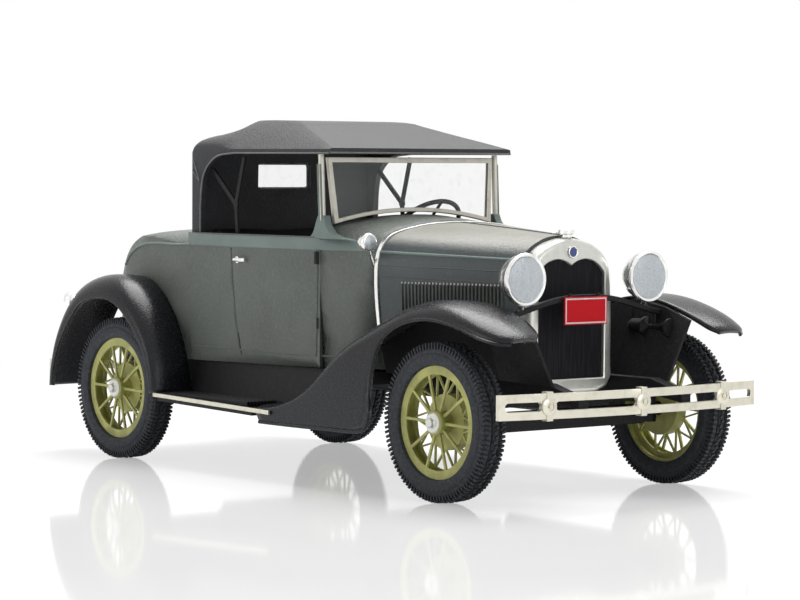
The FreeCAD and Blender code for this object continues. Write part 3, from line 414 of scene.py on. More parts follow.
def finish_named(name):
    """Materials are made once, when the first piece asks for them."""
    if name not in finishes:
        paint = paints()
        makers = {
            "body": lambda: cast_paint("body_olive", tuple(paint.body), 2.0, 6.5, 0.5, 0.03, 0.35),
            # The hood's crown tone (0.24, 0.235, 0.20) is a painted highlight on its upward faces.
            "hood": lambda: cast_paint(
                "hood_olive", (0.068, 0.08, 0.084), 1.7, 8.0, 0.4, 0.025, 0.4, (0.24, 0.235, 0.20)),
            "belt": lambda: cast_paint("belt_teal", tuple(paint.belt), 1.3, 7.0, 0.5, 0.01),
            "line": lambda: cast_paint("panel_line", (0.012, 0.014, 0.013), 1.5, 6.0, 0.7),
            "fender": fender_paint,
            "gear": lambda: cast_paint(
                "running_gear_black", (0.006, 0.006, 0.007), 4.0, 5.0, 0.5, 0.02, 0.22),
            "top": top_cloth,
            "chrome": lambda: bright_metal("chrome"),
            "shell": lambda: bright_metal(
                "shell_silver", (0.66, 0.665, 0.62), 0.24, (0.42, 0.42, 0.38), 0.5, 0.72),
            "strip": lambda: bright_metal(
                "champagne_strip", (0.72, 0.69, 0.58), 0.24, (0.4, 0.37, 0.28), 0.5, 0.72),
            "screen": lambda: bright_metal(
                "screen_frame", (0.56, 0.54, 0.47), 0.3, (0.26, 0.23, 0.18), 0.6, 0.6),
            "wheel": wheel_paint,
            "tyre": tyre_rubber,
            "lens": lamp_glass,
            "pane": pane_glass,
            "core": core_black,
            "cabin": cabin_black,
            "badge": badge_enamel,
        }
        finishes[name] = makers[name]()
    return finishes[name]


# ---- mesh building ------------------------------------------------------------------------
def smooth_rows(rows, steps):
    """Catmull-Rom between rows of numbers, so a few stations give one flowing surface."""
    rows = np.array(rows, float)
    ends = np.vstack([2 * rows[0] - rows[1], rows, 2 * rows[-1] - rows[-2]])
    result = []
    for i in range(len(rows) - 1):
        a, b, c, d = ends[i:i + 4]
        for step in range(steps):
            t = step / steps
            result.append(0.5 * (2 * b + (c - a) * t + (2 * a - 5 * b + 4 * c - d) * t ** 2
                                 + (3 * b - a - 3 * c + d) * t ** 3))
    result.append(rows[-1])
    return result


def grid_mesh(rows, around=False, caps=False):
    """Quads between rows of equally many points."""
    mesh = bmesh.new()
    made = [[mesh.verts.new(point) for point in row] for row in rows]
    count = len(rows[0])
    for first, second in zip(made, made[1:]):
        for i in range(count if around else count - 1):
            j = (i + 1) % count
            mesh.faces.new([first[i], first[j], second[j], second[i]])
    if caps:
        mesh.faces.new(made[0][::-1])
        mesh.faces.new(made[-1])
        bmesh.ops.recalc_face_normals(mesh, faces=mesh.faces)
    return mesh


def joined(parts):
    """Several meshes as one."""
    whole = bmesh.new()
    for part in parts:
        data = bpy.data.meshes.new("part")
        part.to_mesh(data)
        part.free()
        whole.from_mesh(data)
        bpy.data.meshes.remove(data)
    return whole


def block(low, high, bevel=0.0, segments=2):
    """A box between two corners with softened edges."""
    mesh = bmesh.new()
    bmesh.ops.create_cube(mesh, size=1)
    size = high - low
    bmesh.ops.scale(mesh, vec=size, verts=mesh.verts)
    bmesh.ops.translate(mesh, vec=(low + high) / 2, verts=mesh.verts)
    if bevel:
        bmesh.ops.bevel(mesh, geom=list(mesh.edges), offset=bevel, segments=segments, profile=0.5, affect="EDGES")
    return mesh


def pipe(points, radius, sides=8):
    """A round bead along a line of points."""
    rows = []
    for i, point in enumerate(points):
        along = (points[min(i + 1, len(points) - 1)] - points[max(i - 1, 0)]).normalized()
        across = along.cross(Vector((0.31, 0.17, 0.93))).normalized()
        other = along.cross(across)
        rows.append([point + (across * math.cos(turn) + other * math.sin(turn)) * radius
                     for turn in (2 * math.pi * k / sides for k in range(sides))])
    return grid_mesh(rows, around=True, caps=True)


pole_radius = 1e-7


def lathe(profile, centre, axis, turns=48):
    """Revolves (along, radius) points about an axis through centre. A radius of 0 closes a pole."""
    axis = Vector(axis).normalized()
    side = axis.orthogonal().normalized()
    rows = []
    for along, radius in profile:
        radius = max(radius, pole_radius)
        rows.append([centre + axis * along + (Matrix.Rotation(2 * math.pi * k / turns, 3, axis) @ side) * radius
                     for k in range(turns)])
    mesh = grid_mesh(rows, around=True)
    bmesh.ops.remove_doubles(mesh, verts=mesh.verts, dist=1e-6)
    bmesh.ops.recalc_face_normals(mesh, faces=mesh.faces)
    return mesh


def mirrored(mesh):
    """A copy on the car's other side, its faces turned back outwards."""
    copy = mesh.copy()
    bmesh.ops.scale(copy, vec=(-1, 1, 1), verts=copy.verts)
    bmesh.ops.reverse_faces(copy, faces=copy.faces)
    return copy


def piece(name, mesh, finish, body="car", replaced=(), angle=35.0):
    """Puts a mesh in the scene as a finished piece riding on a body."""
    data = bpy.data.meshes.new(name)
    mesh.to_mesh(data)
    mesh.free()
    return placed(name, data, finish, body, replaced, angle)


def placed(name, data, finish, body="car", replaced=(), angle=35.0):
    made = bpy.data.objects.new(name, data)
    bpy.context.scene.collection.objects.link(made)
    data.materials.clear()
    data.materials.append(finish)
    data.polygons.foreach_set("use_smooth", [True] * len(data.polygons))
    data.set_sharp_from_angle(angle=math.radians(angle))
    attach(made, body)
    if replaced:
        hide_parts(*replaced)
    return made


def carried(node, finish, bevel=0.0, angle=30.0, flat_sided=True):
    """A CAD node copied, its loose triangles merged, its edges softened and its own paint put on."""
    source = frame["nodes"][node]
    mesh = bmesh.new()
    mesh.from_mesh(source.data)
    bmesh.ops.remove_doubles(mesh, verts=mesh.verts, dist=0.0005 * MM)
    if flat_sided:
        bmesh.ops.dissolve_limit(mesh, angle_limit=math.radians(1.0), verts=mesh.verts, edges=mesh.edges)
    made = piece(node + "_finished", mesh, finish, source["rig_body"], [node], angle)
    if bevel:
        soften(made, bevel)
    if not flat_sided:
        weighted = made.modifiers.new("even shading", "WEIGHTED_NORMAL")
        weighted.keep_sharp = True
    return made


def soften(made, width, segments=2, angle=35.0):
    modifier = made.modifiers.new("softened edges", "BEVEL")
    modifier.width = width
    modifier.segments = segments
    modifier.limit_method = "ANGLE"
    modifier.angle_limit = math.radians(angle)
    return made


def thickened(made, thickness):
    """Gives an open skin its thickness inwards."""
    modifier = made.modifiers.new("skin", "SOLIDIFY")
    modifier.thickness = thickness
    modifier.offset = -1.0
    modifier.use_even_offset = True
    return made


class Skin:
    """Finds points on the outside of a finished piece, for what is laid along its surface."""

    def __init__(self, *objects):
        depsgraph = bpy.context.evaluated_depsgraph_get()
        self.trees = [BVHTree.FromObject(made, depsgraph) for made in objects]

    def side_point(self, y, z, lift=0.0, side=1):
        start = at(side * 14, y, z)
        best = None
        for tree in self.trees:
            hit = tree.ray_cast(start, Vector((-side, 0, 0)))
            if hit[0] is not None and (best is None or hit[3] < best[3]):
                best = hit
        if best is None:
            raise ValueError("nothing to lie on at y %.2f, z %.2f" % (y, z))
        outward = Vector(best[1])
        if outward.x * side < 0:
            outward.negate()
        return best[0] + outward * lift, outward

    def top_point(self, x, y, lift=0.0):
        for tree in self.trees:
            hit = tree.ray_cast(at(x, y, 26), Vector((0, 0, -1)))
            if hit[0] is not None:
                return hit[0] + Vector((0, 0, 1)) * lift
        raise ValueError("nothing to lie on at x %.2f, y %.2f" % (x, y))


# ---- geometry nodes -----------------------------------------------------------------------
class Growth:
    """A geometry node tree with named inputs, grown into a plain mesh."""

    def __init__(self, name, inputs):
        self.tree = bpy.data.node_groups.new(name, "GeometryNodeTree")
        self.names = {}
        for label, kind, value in inputs:
            socket = self.tree.interface.new_socket(label, in_out="INPUT", socket_type=kind)
            if value is not None:
                socket.default_value = value
            self.names[label] = socket.identifier
        self.tree.interface.new_socket("Geometry", in_out="OUTPUT", socket_type="NodeSocketGeometry")
        self.source = self.tree.nodes.new("NodeGroupInput")
        self.end = self.tree.nodes.new("NodeGroupOutput")

    def given(self, label):
        return self.source.outputs[label]

    def add(self, kind, settings=None, sockets=None):
        node = self.tree.nodes.new(kind)
        for key, value in (settings or {}).items():
            setattr(node, key, value)
        for key, value in (sockets or {}).items():
            if isinstance(value, bpy.types.NodeSocket):
                self.tree.links.new(value, node.inputs[key])
            else:
                node.inputs[key].default_value = value
        return node

    def close(self, geometry):
        """Ends the tree with real geometry that carries its material."""
        real = self.add("GeometryNodeRealizeInstances", {}, {"Geometry": geometry})
        coat = self.add("GeometryNodeSetMaterial", {}, {
            "Geometry": real.outputs[0], "Material": self.given("Material")})
        self.tree.links.new(coat.outputs[0], self.end.inputs[0])

    def grow(self, name, values, route=()):
        """The tree's result as a plain mesh, with the modifier gone. route is a line to follow."""
        line = bpy.data.meshes.new(name)
        line.from_pydata([tuple(point) for point in route], [(k, k + 1) for k in range(len(route) - 1)], [])
        holder = bpy.data.objects.new(name, line)
        bpy.context.scene.collection.objects.link(holder)
        modifier = holder.modifiers.new("growth", "NODES")
        modifier.node_group = self.tree
        for label, value in values.items():
            modifier[self.names[label]] = value
        depsgraph = bpy.context.evaluated_depsgraph_get()
        data = bpy.data.meshes.new_from_object(holder.evaluated_get(depsgraph))
        holder.modifiers.clear()
        bpy.data.objects.remove(holder)
        return data


def louvre_row_tree():
    """Upright louvres: rounded slats evenly spaced along the given line, turned to face outwards."""
    growth = Growth("louvre_row", [
        ("Geometry", "NodeSocketGeometry", None), ("Count", "NodeSocketInt", 21),
        ("Height", "NodeSocketFloat", 2 * MM), ("Width", "NodeSocketFloat", 0.1 * MM),
        ("Depth", "NodeSocketFloat", 0.1 * MM), ("Turn", "NodeSocketVector", None),
        ("Material", "NodeSocketMaterial", None),
    ])
    route = growth.add("GeometryNodeMeshToCurve", {}, {"Mesh": growth.given("Geometry")})
    row = growth.add("GeometryNodeResampleCurve", {"mode": "COUNT"}, {
        "Curve": route.outputs[0], "Count": growth.given("Count")})
    slat = growth.add("GeometryNodeMeshCylinder", {"fill_type": "NGON"}, {
        "Vertices": 10, "Radius": 1.0, "Depth": 1.0})
    size = growth.add("ShaderNodeCombineXYZ", {}, {
        0: growth.given("Depth"), 1: growth.given("Width"), 2: growth.given("Height")})
    slats = growth.add("GeometryNodeInstanceOnPoints", {}, {
        "Points": row.outputs[0], "Instance": slat.outputs["Mesh"], "Rotation": growth.given("Turn"),
        "Scale": size.outputs[0]})
    growth.close(slats.outputs[0])
    return growth


def tread_ring_tree():
    """Blocks round a circle in the YZ plane; every other block is set Stagger to one side."""
    growth = Growth("tread_ring", [
        ("Count", "NodeSocketInt", 60), ("Radius", "NodeSocketFloat", 4 * MM),
        ("Block", "NodeSocketVector", None), ("Offset", "NodeSocketFloat", 0.0),
        ("Stagger", "NodeSocketFloat", 0.0), ("Slant", "NodeSocketFloat", 0.0),
        ("Material", "NodeSocketMaterial", None),
    ])
    ring = growth.add("GeometryNodeMeshCircle", {"fill_type": "NONE"}, {
        "Vertices": growth.given("Count"), "Radius": growth.given("Radius")})
    upright = growth.add("GeometryNodeTransform", {}, {
        "Geometry": ring.outputs[0], "Rotation": (0, math.pi / 2, 0)})
    index = growth.add("GeometryNodeInputIndex")
    odd = growth.add("ShaderNodeMath", {"operation": "MODULO"}, {0: index.outputs[0], 1: 2.0})
    signed = growth.add("ShaderNodeMath", {"operation": "MULTIPLY_ADD"}, {
        0: odd.outputs[0], 1: growth.given("Stagger"), 2: growth.given("Offset")})
    shift = growth.add("ShaderNodeCombineXYZ", {}, {0: signed.outputs[0]})
    place = growth.add("GeometryNodeInputPosition")
    moved = growth.add("GeometryNodeSetPosition", {}, {
        "Geometry": upright.outputs[0], "Offset": shift.outputs[0]})
    outward = growth.add("ShaderNodeVectorMath", {"operation": "MULTIPLY"}, {0: place.outputs[0], 1: (0, 1, 1)})
    aim = growth.add("FunctionNodeAlignRotationToVector", {"axis": "Z"}, {"Vector": outward.outputs[0]})
    aim_side = growth.add("FunctionNodeAlignRotationToVector", {"axis": "X", "pivot_axis": "Z"}, {
        "Rotation": aim.outputs[0], "Vector": (1, 0, 0)})
    slant = growth.add("ShaderNodeCombineXYZ", {}, {2: growth.given("Slant")})
    tilted = growth.add("FunctionNodeRotateRotation", {"rotation_space": "LOCAL"}, {
        "Rotation": aim_side.outputs[0], "Rotate By": slant.outputs[0]})
    cube = growth.add("GeometryNodeMeshCube", {}, {"Size": growth.given("Block")})
    blocks = growth.add("GeometryNodeInstanceOnPoints", {}, {
        "Points": moved.outputs[0], "Instance": cube.outputs[0], "Rotation": tilted.outputs[0]})
    growth.close(blocks.outputs[0])
    return growth


# ---- shell: hood, cowl and tub ------------------------------------------------------------
hood_front_y, hood_rear_y = -15.0, -6.64
hood_front_profile = [
    (3.05, 6.5), (3.08, 9.0), (3.02, 11.5), (2.92, 12.5), (2.62, 13.1), (1.95, 13.6), (1.0, 13.98), (0, 14.1),
]
cowl_front_profile = [
    (5.62, 6.5), (5.9, 9.0), (6.12, 11.9), (5.95, 13.0), (5.42, 13.76), (4.3, 14.22), (2.3, 14.55), (0, 14.64),
]


hood_swell = (0.12, 0.02)
hood_bead_path = [(-14.75, 12.78), (-10.5, 12.93), (-6.75, 13.05)]
hood_line_heights = (12.25, 11.62)
hood_louvre_front, hood_louvre_rear, hood_louvre_top, hood_louvre_foot = -14.15, -8.2, 11.3, 9.25


def full_hoop(y, half_profile, steps=5):
    """The whole section across the car through a half profile, from the right foot to the left."""
    half = smooth_rows(half_profile, steps)
    right = [at(-x, y, z) for x, z in half]
    left = [at(x, y, z) for x, z in half[-2::-1]]
    return right + left


def hood_rows(count=18):
    middle = [((a[0] + b[0]) / 2 + hood_swell[0], (a[1] + b[1]) / 2 + hood_swell[1])
              for a, b in zip(hood_front_profile, cowl_front_profile)]
    middle[-1] = (0, middle[-1][1])
    stations = [np.array(profile).ravel() for profile in (hood_front_profile, middle, cowl_front_profile)]
    profiles = smooth_rows(stations, count // 2)
    places = np.linspace(hood_front_y, hood_rear_y, len(profiles))
    return [full_hoop(y, profile.reshape(-1, 2)) for y, profile in zip(places, profiles)]


def bead_along(skin, path, radius, side, steps=6, lift=0.0):
    points = [skin.side_point(y, z, lift, side)[0] for y, z in smooth_rows(path, steps)]
    return pipe(points, radius)


def make_hood():
    hood = piece("hood_shell", grid_mesh(hood_rows(), caps=True), finish_named("hood"), replaced=["hood"],
                 angle=50)
    skin = Skin(hood)
    beads = [bead_along(skin, hood_bead_path, 0.09 * MM, side) for side in (1, -1)]
    piece("hood_side_beads", joined(beads), finish_named("belt"))
    lines = []
    for side in (1, -1):
        for z in hood_line_heights:
            lines.append(bead_along(skin, [(-14.6, z - 0.12), (-10.5, z), (-6.8, z + 0.08)], 0.032 * MM, side))
    lines.append(pipe([skin.top_point(0, y, 0.01 * MM) for y in np.linspace(-14.9, -6.8, 16)], 0.05 * MM))
    piece("hood_panel_lines", joined(lines), finish_named("hood"))
    growth = louvre_row_tree()
    middle_z = (hood_louvre_top + hood_louvre_foot) / 2
    for side, name in ((1, "left"), (-1, "right")):
        route = [skin.side_point(y, middle_z, 0, side)[0]
                 for y in np.linspace(hood_louvre_front, hood_louvre_rear, 24)]
        _, outward = skin.side_point((hood_louvre_front + hood_louvre_rear) / 2, middle_z, 0, side)
        turn = math.atan2(outward.y, outward.x)
        lean = math.asin(max(-1.0, min(1.0, outward.z)))
        rows = (("louvres", 0.0, hood_louvre_top - hood_louvre_foot, 0.06, 0.11, "body"),
                ("rivets", hood_louvre_top + 0.1 - middle_z, 0.1, 0.055, 0.14, "shell"))
        for part, rise, high, wide, deep, finish in rows:
            data = growth.grow("hood_%s_%s" % (part, name), {
                "Count": details().louvres, "Height": high * MM, "Width": wide * MM, "Depth": deep * MM,
                "Turn": (0.0, -lean, turn), "Material": finish_named(finish)},
                [point + Vector((0, 0, rise * MM)) for point in route])
            placed("hood_%s_%s" % (part, name), data, finish_named(finish))
        edges = [bead_along(skin, [(hood_louvre_front - 0.2, z), (hood_louvre_rear + 0.2, z)], 0.03 * MM, side)
                 for z in (hood_louvre_top + 0.16, hood_louvre_foot - 0.15)]
        piece("louvre_frame_" + name, joined(edges), finish_named("hood"))
    return hood


def make_cowl():
    cowl = carried("cowl", finish_named("body"), angle=50, flat_sided=False)
    carried("cowl_band", finish_named("chrome"), bevel=0.04 * MM)
    return cowl


# (y, z, half height) along the moulding, which narrows to its front end
belt_path = [
    (-6.3, 13.22, 0.14), (-5.4, 13.3, 0.24), (-4.0, 13.36, 0.32), (-2.0, 13.38, 0.35), (2.0, 13.38, 0.35),
    (6.0, 13.38, 0.35), (10.1, 13.38, 0.35),
]
tail_bead_path = [
    (10.1, 13.1), (11.8, 13.04), (13.9, 13.06), (15.5, 12.98), (16.8, 12.72), (17.9, 12.3), (19.0, 11.6),
]
sill_path = [(-6.0, 7.08), (-2.0, 7.06), (3.0, 7.04), (9.9, 7.04)]
handle_foot, handle_tip = (5.2, 12.3), (4.2, 12.32)
handle_rose = [(-0.05, 0), (-0.05, 0.2), (0.06, 0.2), (0.1, 0.12), (0.1, 0)]
hinge_spans = [(-1.95, 12.25, 12.95), (-2.0, 8.6, 9.2)]
door_rear_line = [(5.85, 13.0), (5.72, 11.5), (5.55, 9.5), (5.4, 8.0), (5.25, 6.75)]


# (z, front y, rear y)
sweep_rows = [
    (13.68, -5.0, -0.9), (13.8, -3.9, -1.3), (14.0, -3.2, -1.5), (14.3, -2.8, -1.62), (14.6, -2.55, -1.7),
    (15.0, -2.4, -1.85),
]


def pillar_sweep(side):
    """The moulding's rise into the foot of the screen post: a curved web that thins as it climbs."""
    rows = []
    for z, front, rear in sweep_rows:
        x = 6.62 - (z - 13.7) * 0.1
        corners = [(x + 0.09, front), (x + 0.09, rear), (x - 0.42, rear), (x - 0.42, front)]
        rows.append([at(side * across, y, z) for across, y in corners])
    return grid_mesh(rows, around=True, caps=True)


def make_tub():
    tub = carried("body_tub", finish_named("body"), angle=38, flat_sided=False)
    cowl = bpy.data.objects["cowl_finished"]
    skin = Skin(tub, cowl)
    bands, beads, sills, gaps = [], [], [], []
    for side in (1, -1):
        rows = []
        for y, z, half_high in smooth_rows(belt_path, 6):
            low, outward = skin.side_point(y, z - half_high, 0, side)
            high, _ = skin.side_point(y, z + half_high, 0, side)
            lift = outward * 0.1 * MM
            rows.append([low - lift * 2, low + lift * 0.6, low * 0.7 + high * 0.3 + lift,
                         low * 0.3 + high * 0.7 + lift, high + lift * 0.6, high - lift * 2])
        bands.append(grid_mesh(rows, around=True, caps=True))
        bands.append(pillar_sweep(side))
        beads.append(bead_along(skin, tail_bead_path, 0.085 * MM, side))
        sills.append(bead_along(skin, sill_path, 0.055 * MM, side))
        gaps.append(bead_along(skin, door_rear_line, 0.06 * MM, side, lift=-0.03 * MM))
    band = piece("belt_band", joined(bands), finish_named("belt"), replaced=["belt_moulding"],
                 angle=50)
    soften(band, 0.05 * MM)
    piece("tail_beads", joined(beads), finish_named("belt"))
    piece("sill_beads", joined(sills), finish_named("body"))
    piece("door_gaps", joined(gaps), finish_named("line"))
    handles, hinges = [], []
    for side in (1, -1):
        foot, outward = skin.side_point(*handle_foot, 0, side)
        tip, _ = skin.side_point(*handle_tip, 0, side)
        lever = [place + outward * proud * MM
                 for place, proud in ((foot, 0.1), (foot, 0.24), ((foot + tip) / 2, 0.28), (tip, 0.2))]
        handles.append(pipe([Vector(p) for p in smooth_rows(lever, 5)], 0.12 * MM, 10))
        handles.append(lathe([(along * MM, radius * MM) for along, radius in handle_rose], foot, outward, 20))
        for y, low, high in hinge_spans:
            point, face = skin.side_point(y, (low + high) / 2, 0, side)
            half = Vector((0.1, 0.13, (high - low) / 2)) * MM
            hinges.append(block(point - half, point + half, 0.04 * MM))
            pin = [point + face * 0.12 * MM + Vector((0, 0, rise)) for rise in (-half.z, half.z)]
            hinges.append(pipe(pin, 0.09 * MM, 10))
    piece("door_handles", joined(handles), finish_named("chrome"))
    piece("door_hinges", joined(hinges), finish_named("line"))


# ---- top ----------------------------------------------------------------------------------
top_half = 6.72
top_edge_z = 18.75
top_hem_z = 18.5
belt_z = 13.8
top_rear_y = 10.25
top_stations = [
    (-3.15, 0.06), (-2.0, 0.36), (0.0, 0.85), (2.0, 1.36), (3.0, 1.6), (5.0, 1.7), (7.0, 1.7), (7.4, 1.6),
    (7.9, 1.36), (8.5, 1.13), (8.9, 1.0), (9.6, 0.88), (9.9, 0.8),
]
ridge_front_y = 3.0
ridge_share = 0.6
quarter_front_y = 6.3
quarter_edge = [
    (quarter_front_y, 18.48), (7.0, 18.45), (7.7, 18.34), (8.4, 17.98), (9.0, 17.35), (9.3, 16.4), (9.4, 15.0),
    (9.4, 13.8),
]
seam_starts = [(10.05, 18.0), (10.2, 17.45)]
seam_end = (9.5, 16.85)
window_half, window_low, window_high = 2.0, 16.35, 17.95
window_corner = 0.25
cloth_shares = [
    0, 0.15, window_half / top_half, 0.4, 0.5, 0.56, 0.6, 0.64, 0.7, 0.76, 0.82, 0.88, 0.92, 0.955, 0.98, 0.993, 1,
]
rear_corner = 0.5
back_heights = (18.2, window_high, 17.4, 16.9, window_low, 15.6, 14.7, belt_z)


def ridge_reach(y):
    """How far out the flat of the ridge reaches, as a share of the top's half width."""
    to_header = max(0.0, (ridge_front_y - y) / (ridge_front_y - top_stations[0][0]))
    return ridge_share + (0.97 - ridge_share) * to_header


def top_rise(share, y):
    """Height of the top as a share of its crown: a hipped ridge that turns boxy at the rear bow."""
    slope = min(1.0, (1 - share) / (1 - ridge_reach(y)))
    hipped = 0.75 * slope + 0.25 * math.sin(math.pi / 2 * slope)
    boxy = (1 - share ** 7) ** 0.5
    turn = min(1.0, max(0.0, (y - 6.0) / 3.5))
    blend = turn * turn * (3 - 2 * turn)
    return hipped + (boxy - hipped) * blend


def both_sides(shares):
    return [-share for share in shares[:0:-1]] + shares


def top_rows():
    """The cloth's line from the front header over the ridge and down the back, as rows across."""
    rows = []
    for y, crown in smooth_rows(top_stations, 5):
        flat = ridge_reach(y)
        outside = (1 - flat) / (1 - ridge_share)
        bent = [share * flat / ridge_share if share <= ridge_share else 1 - (1 - share) * outside
                for share in cloth_shares]
        rows.append([at(top_half * s, y, top_edge_z + crown * top_rise(abs(s), y)) for s in both_sides(bent)])
    shares = both_sides(cloth_shares)
    last_y, last_crown = top_stations[-1]
    corner_steps = 7
    for k in range(1, corner_steps + 1):
        turn = math.pi / 2 * k / corner_steps
        y = last_y + (top_rear_y - last_y) * math.sin(turn)
        drop = rear_corner * (1 - math.cos(turn))
        rows.append([at(top_half * s, y, top_edge_z + (last_crown - drop) * top_rise(abs(s), y) - 0.5 * drop)
                     for s in shares])
    for z in back_heights:
        bulge = 0.1 * math.sin(math.pi * (z - belt_z) / (top_edge_z - belt_z))
        rows.append([at(top_half * s, top_rear_y + bulge * (1 - s * s), z) for s in shares])
    return rows


def in_window(face):
    centre = face.calc_center_median()
    inside_x = abs(centre.x) < window_half * MM
    return inside_x and window_low * MM < centre.z < window_high * MM and centre.y > at(0, 9.9, 0).y


def flank(rim, edge, side):
    """The strip from the cloth's rim down to the hem, and behind that to the quarter's edge."""
    split_y = at(0, quarter_front_y, 0).y
    strip = [[point, Vector((point.x, point.y, top_hem_z * MM))] for point in rim if point.y < split_y]
    back = [point for point in rim if point.y >= split_y]
    for k, point in enumerate(back):
        y, z = edge[round(k / (len(back) - 1) * (len(edge) - 1))]
        strip.append([point, at(side * top_half, y, z)])
    return grid_mesh(strip)


def top_hems(edge):
    """Pale beads along the hem, the quarter's edge, its two seams and the front header."""
    hems = []
    for side in (1, -1):
        x = side * (top_half + 0.01)
        hem = [at(x, y, top_hem_z + 0.02) for y in np.linspace(-3.1, 6.0, 14)] + [at(x, y, z) for y, z in edge[4:]]
        hems.append(pipe(hem, 0.055 * MM))
        for start_y, start_z in seam_starts:
            seam = [at(x, start_y + (seam_end[0] - start_y) * t, start_z + (seam_end[1] - start_z) * t)
                    for t in (0, 0.5, 1)]
            hems.append(pipe(seam, 0.045 * MM))
    hems.append(pipe([at(x, -3.14, top_hem_z + 0.04) for x in np.linspace(-top_half, top_half, 10)], 0.06 * MM))
    return joined(hems)


def window_rim():
    """The moulded frame round the rear window, its corners rounded."""
    rim = []
    middle_z = (window_low + window_high) / 2
    for k, (across, up) in enumerate(((1, 1), (-1, 1), (-1, -1), (1, -1))):
        centre_x = across * (window_half - window_corner)
        centre_z = middle_z + up * ((window_high - window_low) / 2 - window_corner)
        for step in range(5):
            turn = math.pi / 2 * (k + step / 4)
            rim.append(at(centre_x + math.cos(turn) * window_corner, top_rear_y + 0.05,
                          centre_z + math.sin(turn) * window_corner))
    return pipe(rim + rim[:1], 0.13 * MM)


def make_top():
    rows = top_rows()
    cloth = grid_mesh(rows)
    openings = [face for face in cloth.faces if in_window(face)]
    bmesh.ops.delete(cloth, geom=openings, context="FACES")
    edge = smooth_rows(quarter_edge, 5)
    flanks = [flank([row[end] for row in rows], edge, side) for side, end in ((1, -1), (-1, 0))]
    header = [[point, Vector((point.x, point.y, top_hem_z * MM))] for point in rows[0]]
    shell = joined([cloth] + flanks + [grid_mesh(header)])
    bmesh.ops.remove_doubles(shell, verts=shell.verts, dist=0.004 * MM)
    bmesh.ops.recalc_face_normals(shell, faces=shell.faces)
    if sum(face.normal.z for face in shell.faces) < 0:
        bmesh.ops.reverse_faces(shell, faces=shell.faces)
    mark_lip(shell, lambda point: 1.0 if abs(point.z - top_hem_z * MM) < 0.02 * MM else 0.0)
    top = piece("soft_top_cloth", shell, finish_named("top"), replaced=["soft_top"], angle=60)
    thickened(top, 0.3 * MM)
    soften(top, 0.07 * MM, 3, 50)
    hem_paint = cast_paint("hem_grey", (0.14, 0.14, 0.14), 2.0, 7.0, 0.5)
    piece("top_hems", top_hems(edge), hem_paint)
    piece("rear_window_rim", window_rim(), finish_named("top"))
    carried("rear_window_pane", finish_named("pane"))
    carried("top_irons", finish_named("gear"), bevel=0.03 * MM)


def mark_lip(mesh, measure):
    """Stores how near each point is to a rubbed edge, from 0 to 1, for the paint to read."""
    layer = mesh.verts.layers.float.new("lip")
    for vert in mesh.verts:
        vert[layer] = measure(vert.co)


# ---- fenders ------------------------------------------------------------------------------
# crown (y, z), lip (y, z), inner, crown and outer x, shoulder depth
front_fender_stations = [
    (-20.75, 8.95, -20.55, 8.66, 6.7, 7.5, 8.35, 0.26), (-20.3, 9.27, -20.0, 8.72, 6.25, 7.5, 8.95, 0.5),
    (-19.3, 9.78, -19.0, 8.98, 6.0, 7.55, 9.3, 0.75), (-18.0, 10.25, -17.7, 9.38, 5.9, 7.6, 9.4, 0.85),
    (-16.5, 10.62, -16.2, 9.68, 5.9, 7.6, 9.42, 0.92), (-15.0, 10.75, -14.8, 9.76, 5.9, 7.6, 9.42, 0.95),
    (-13.4, 10.6, -13.3, 9.55, 5.95, 7.6, 9.42, 0.95), (-12.0, 10.22, -12.1, 9.15, 6.05, 7.65, 9.42, 0.95),
    (-10.6, 9.66, -11.15, 8.5, 6.15, 7.7, 9.42, 0.95), (-9.2, 9.02, -10.6, 7.65, 6.25, 7.75, 9.42, 0.95),
    (-7.7, 8.3, -10.3, 6.6, 6.35, 7.8, 9.42, 0.95), (-6.35, 7.45, -10.15, 5.4, 6.75, 7.85, 9.42, 0.9),
    (-5.1, 6.4, -10.1, 4.3, 7.02, 7.9, 9.42, 0.8), (-3.95, 5.5, -9.4, 3.45, 7.02, 7.95, 9.42, 0.7),
    (-2.7, 4.85, -6.4, 3.35, 7.02, 7.95, 9.42, 0.6), (-1.2, 4.42, -3.0, 3.32, 7.02, 7.95, 9.42, 0.5),
    (0.4, 4.25, -0.2, 3.32, 7.02, 7.95, 9.42, 0.4),
]
rear_fender_stations = [
    (21.62, 4.1, 21.3, 4.1, 5.9, 8.0, 9.45, 0.3), (21.5, 5.3, 21.1, 5.25, 5.8, 8.0, 9.45, 0.35),
    (21.15, 6.8, 20.6, 6.5, 5.65, 8.0, 9.45, 0.5), (20.55, 8.2, 19.85, 7.6, 5.55, 8.0, 9.45, 0.7),
    (19.7, 9.4, 18.95, 8.6, 5.5, 8.0, 9.45, 0.85), (18.6, 10.3, 18.1, 9.3, 5.85, 8.0, 9.45, 0.95),
    (17.3, 10.78, 17.05, 9.66, 6.15, 8.0, 9.45, 1.0), (15.9, 10.9, 15.9, 9.75, 6.42, 8.0, 9.45, 1.0),
    (14.6, 10.68, 14.75, 9.6, 6.62, 8.0, 9.45, 1.0), (13.4, 10.12, 13.75, 9.18, 6.78, 8.0, 9.45, 0.9),
    (12.35, 9.3, 12.9, 8.55, 6.9, 8.0, 9.45, 0.75), (11.4, 8.2, 12.05, 7.75, 6.98, 8.0, 9.45, 0.6),
    (10.7, 7.0, 11.3, 6.8, 7.02, 8.0, 9.45, 0.45), (10.25, 5.6, 10.75, 5.6, 7.02, 8.0, 9.45, 0.35),
    (10.05, 4.28, 10.45, 4.28, 7.02, 8.0, 9.45, 0.3),
]
shoulder_steps, flank_steps, crown_steps = 12, 7, 6


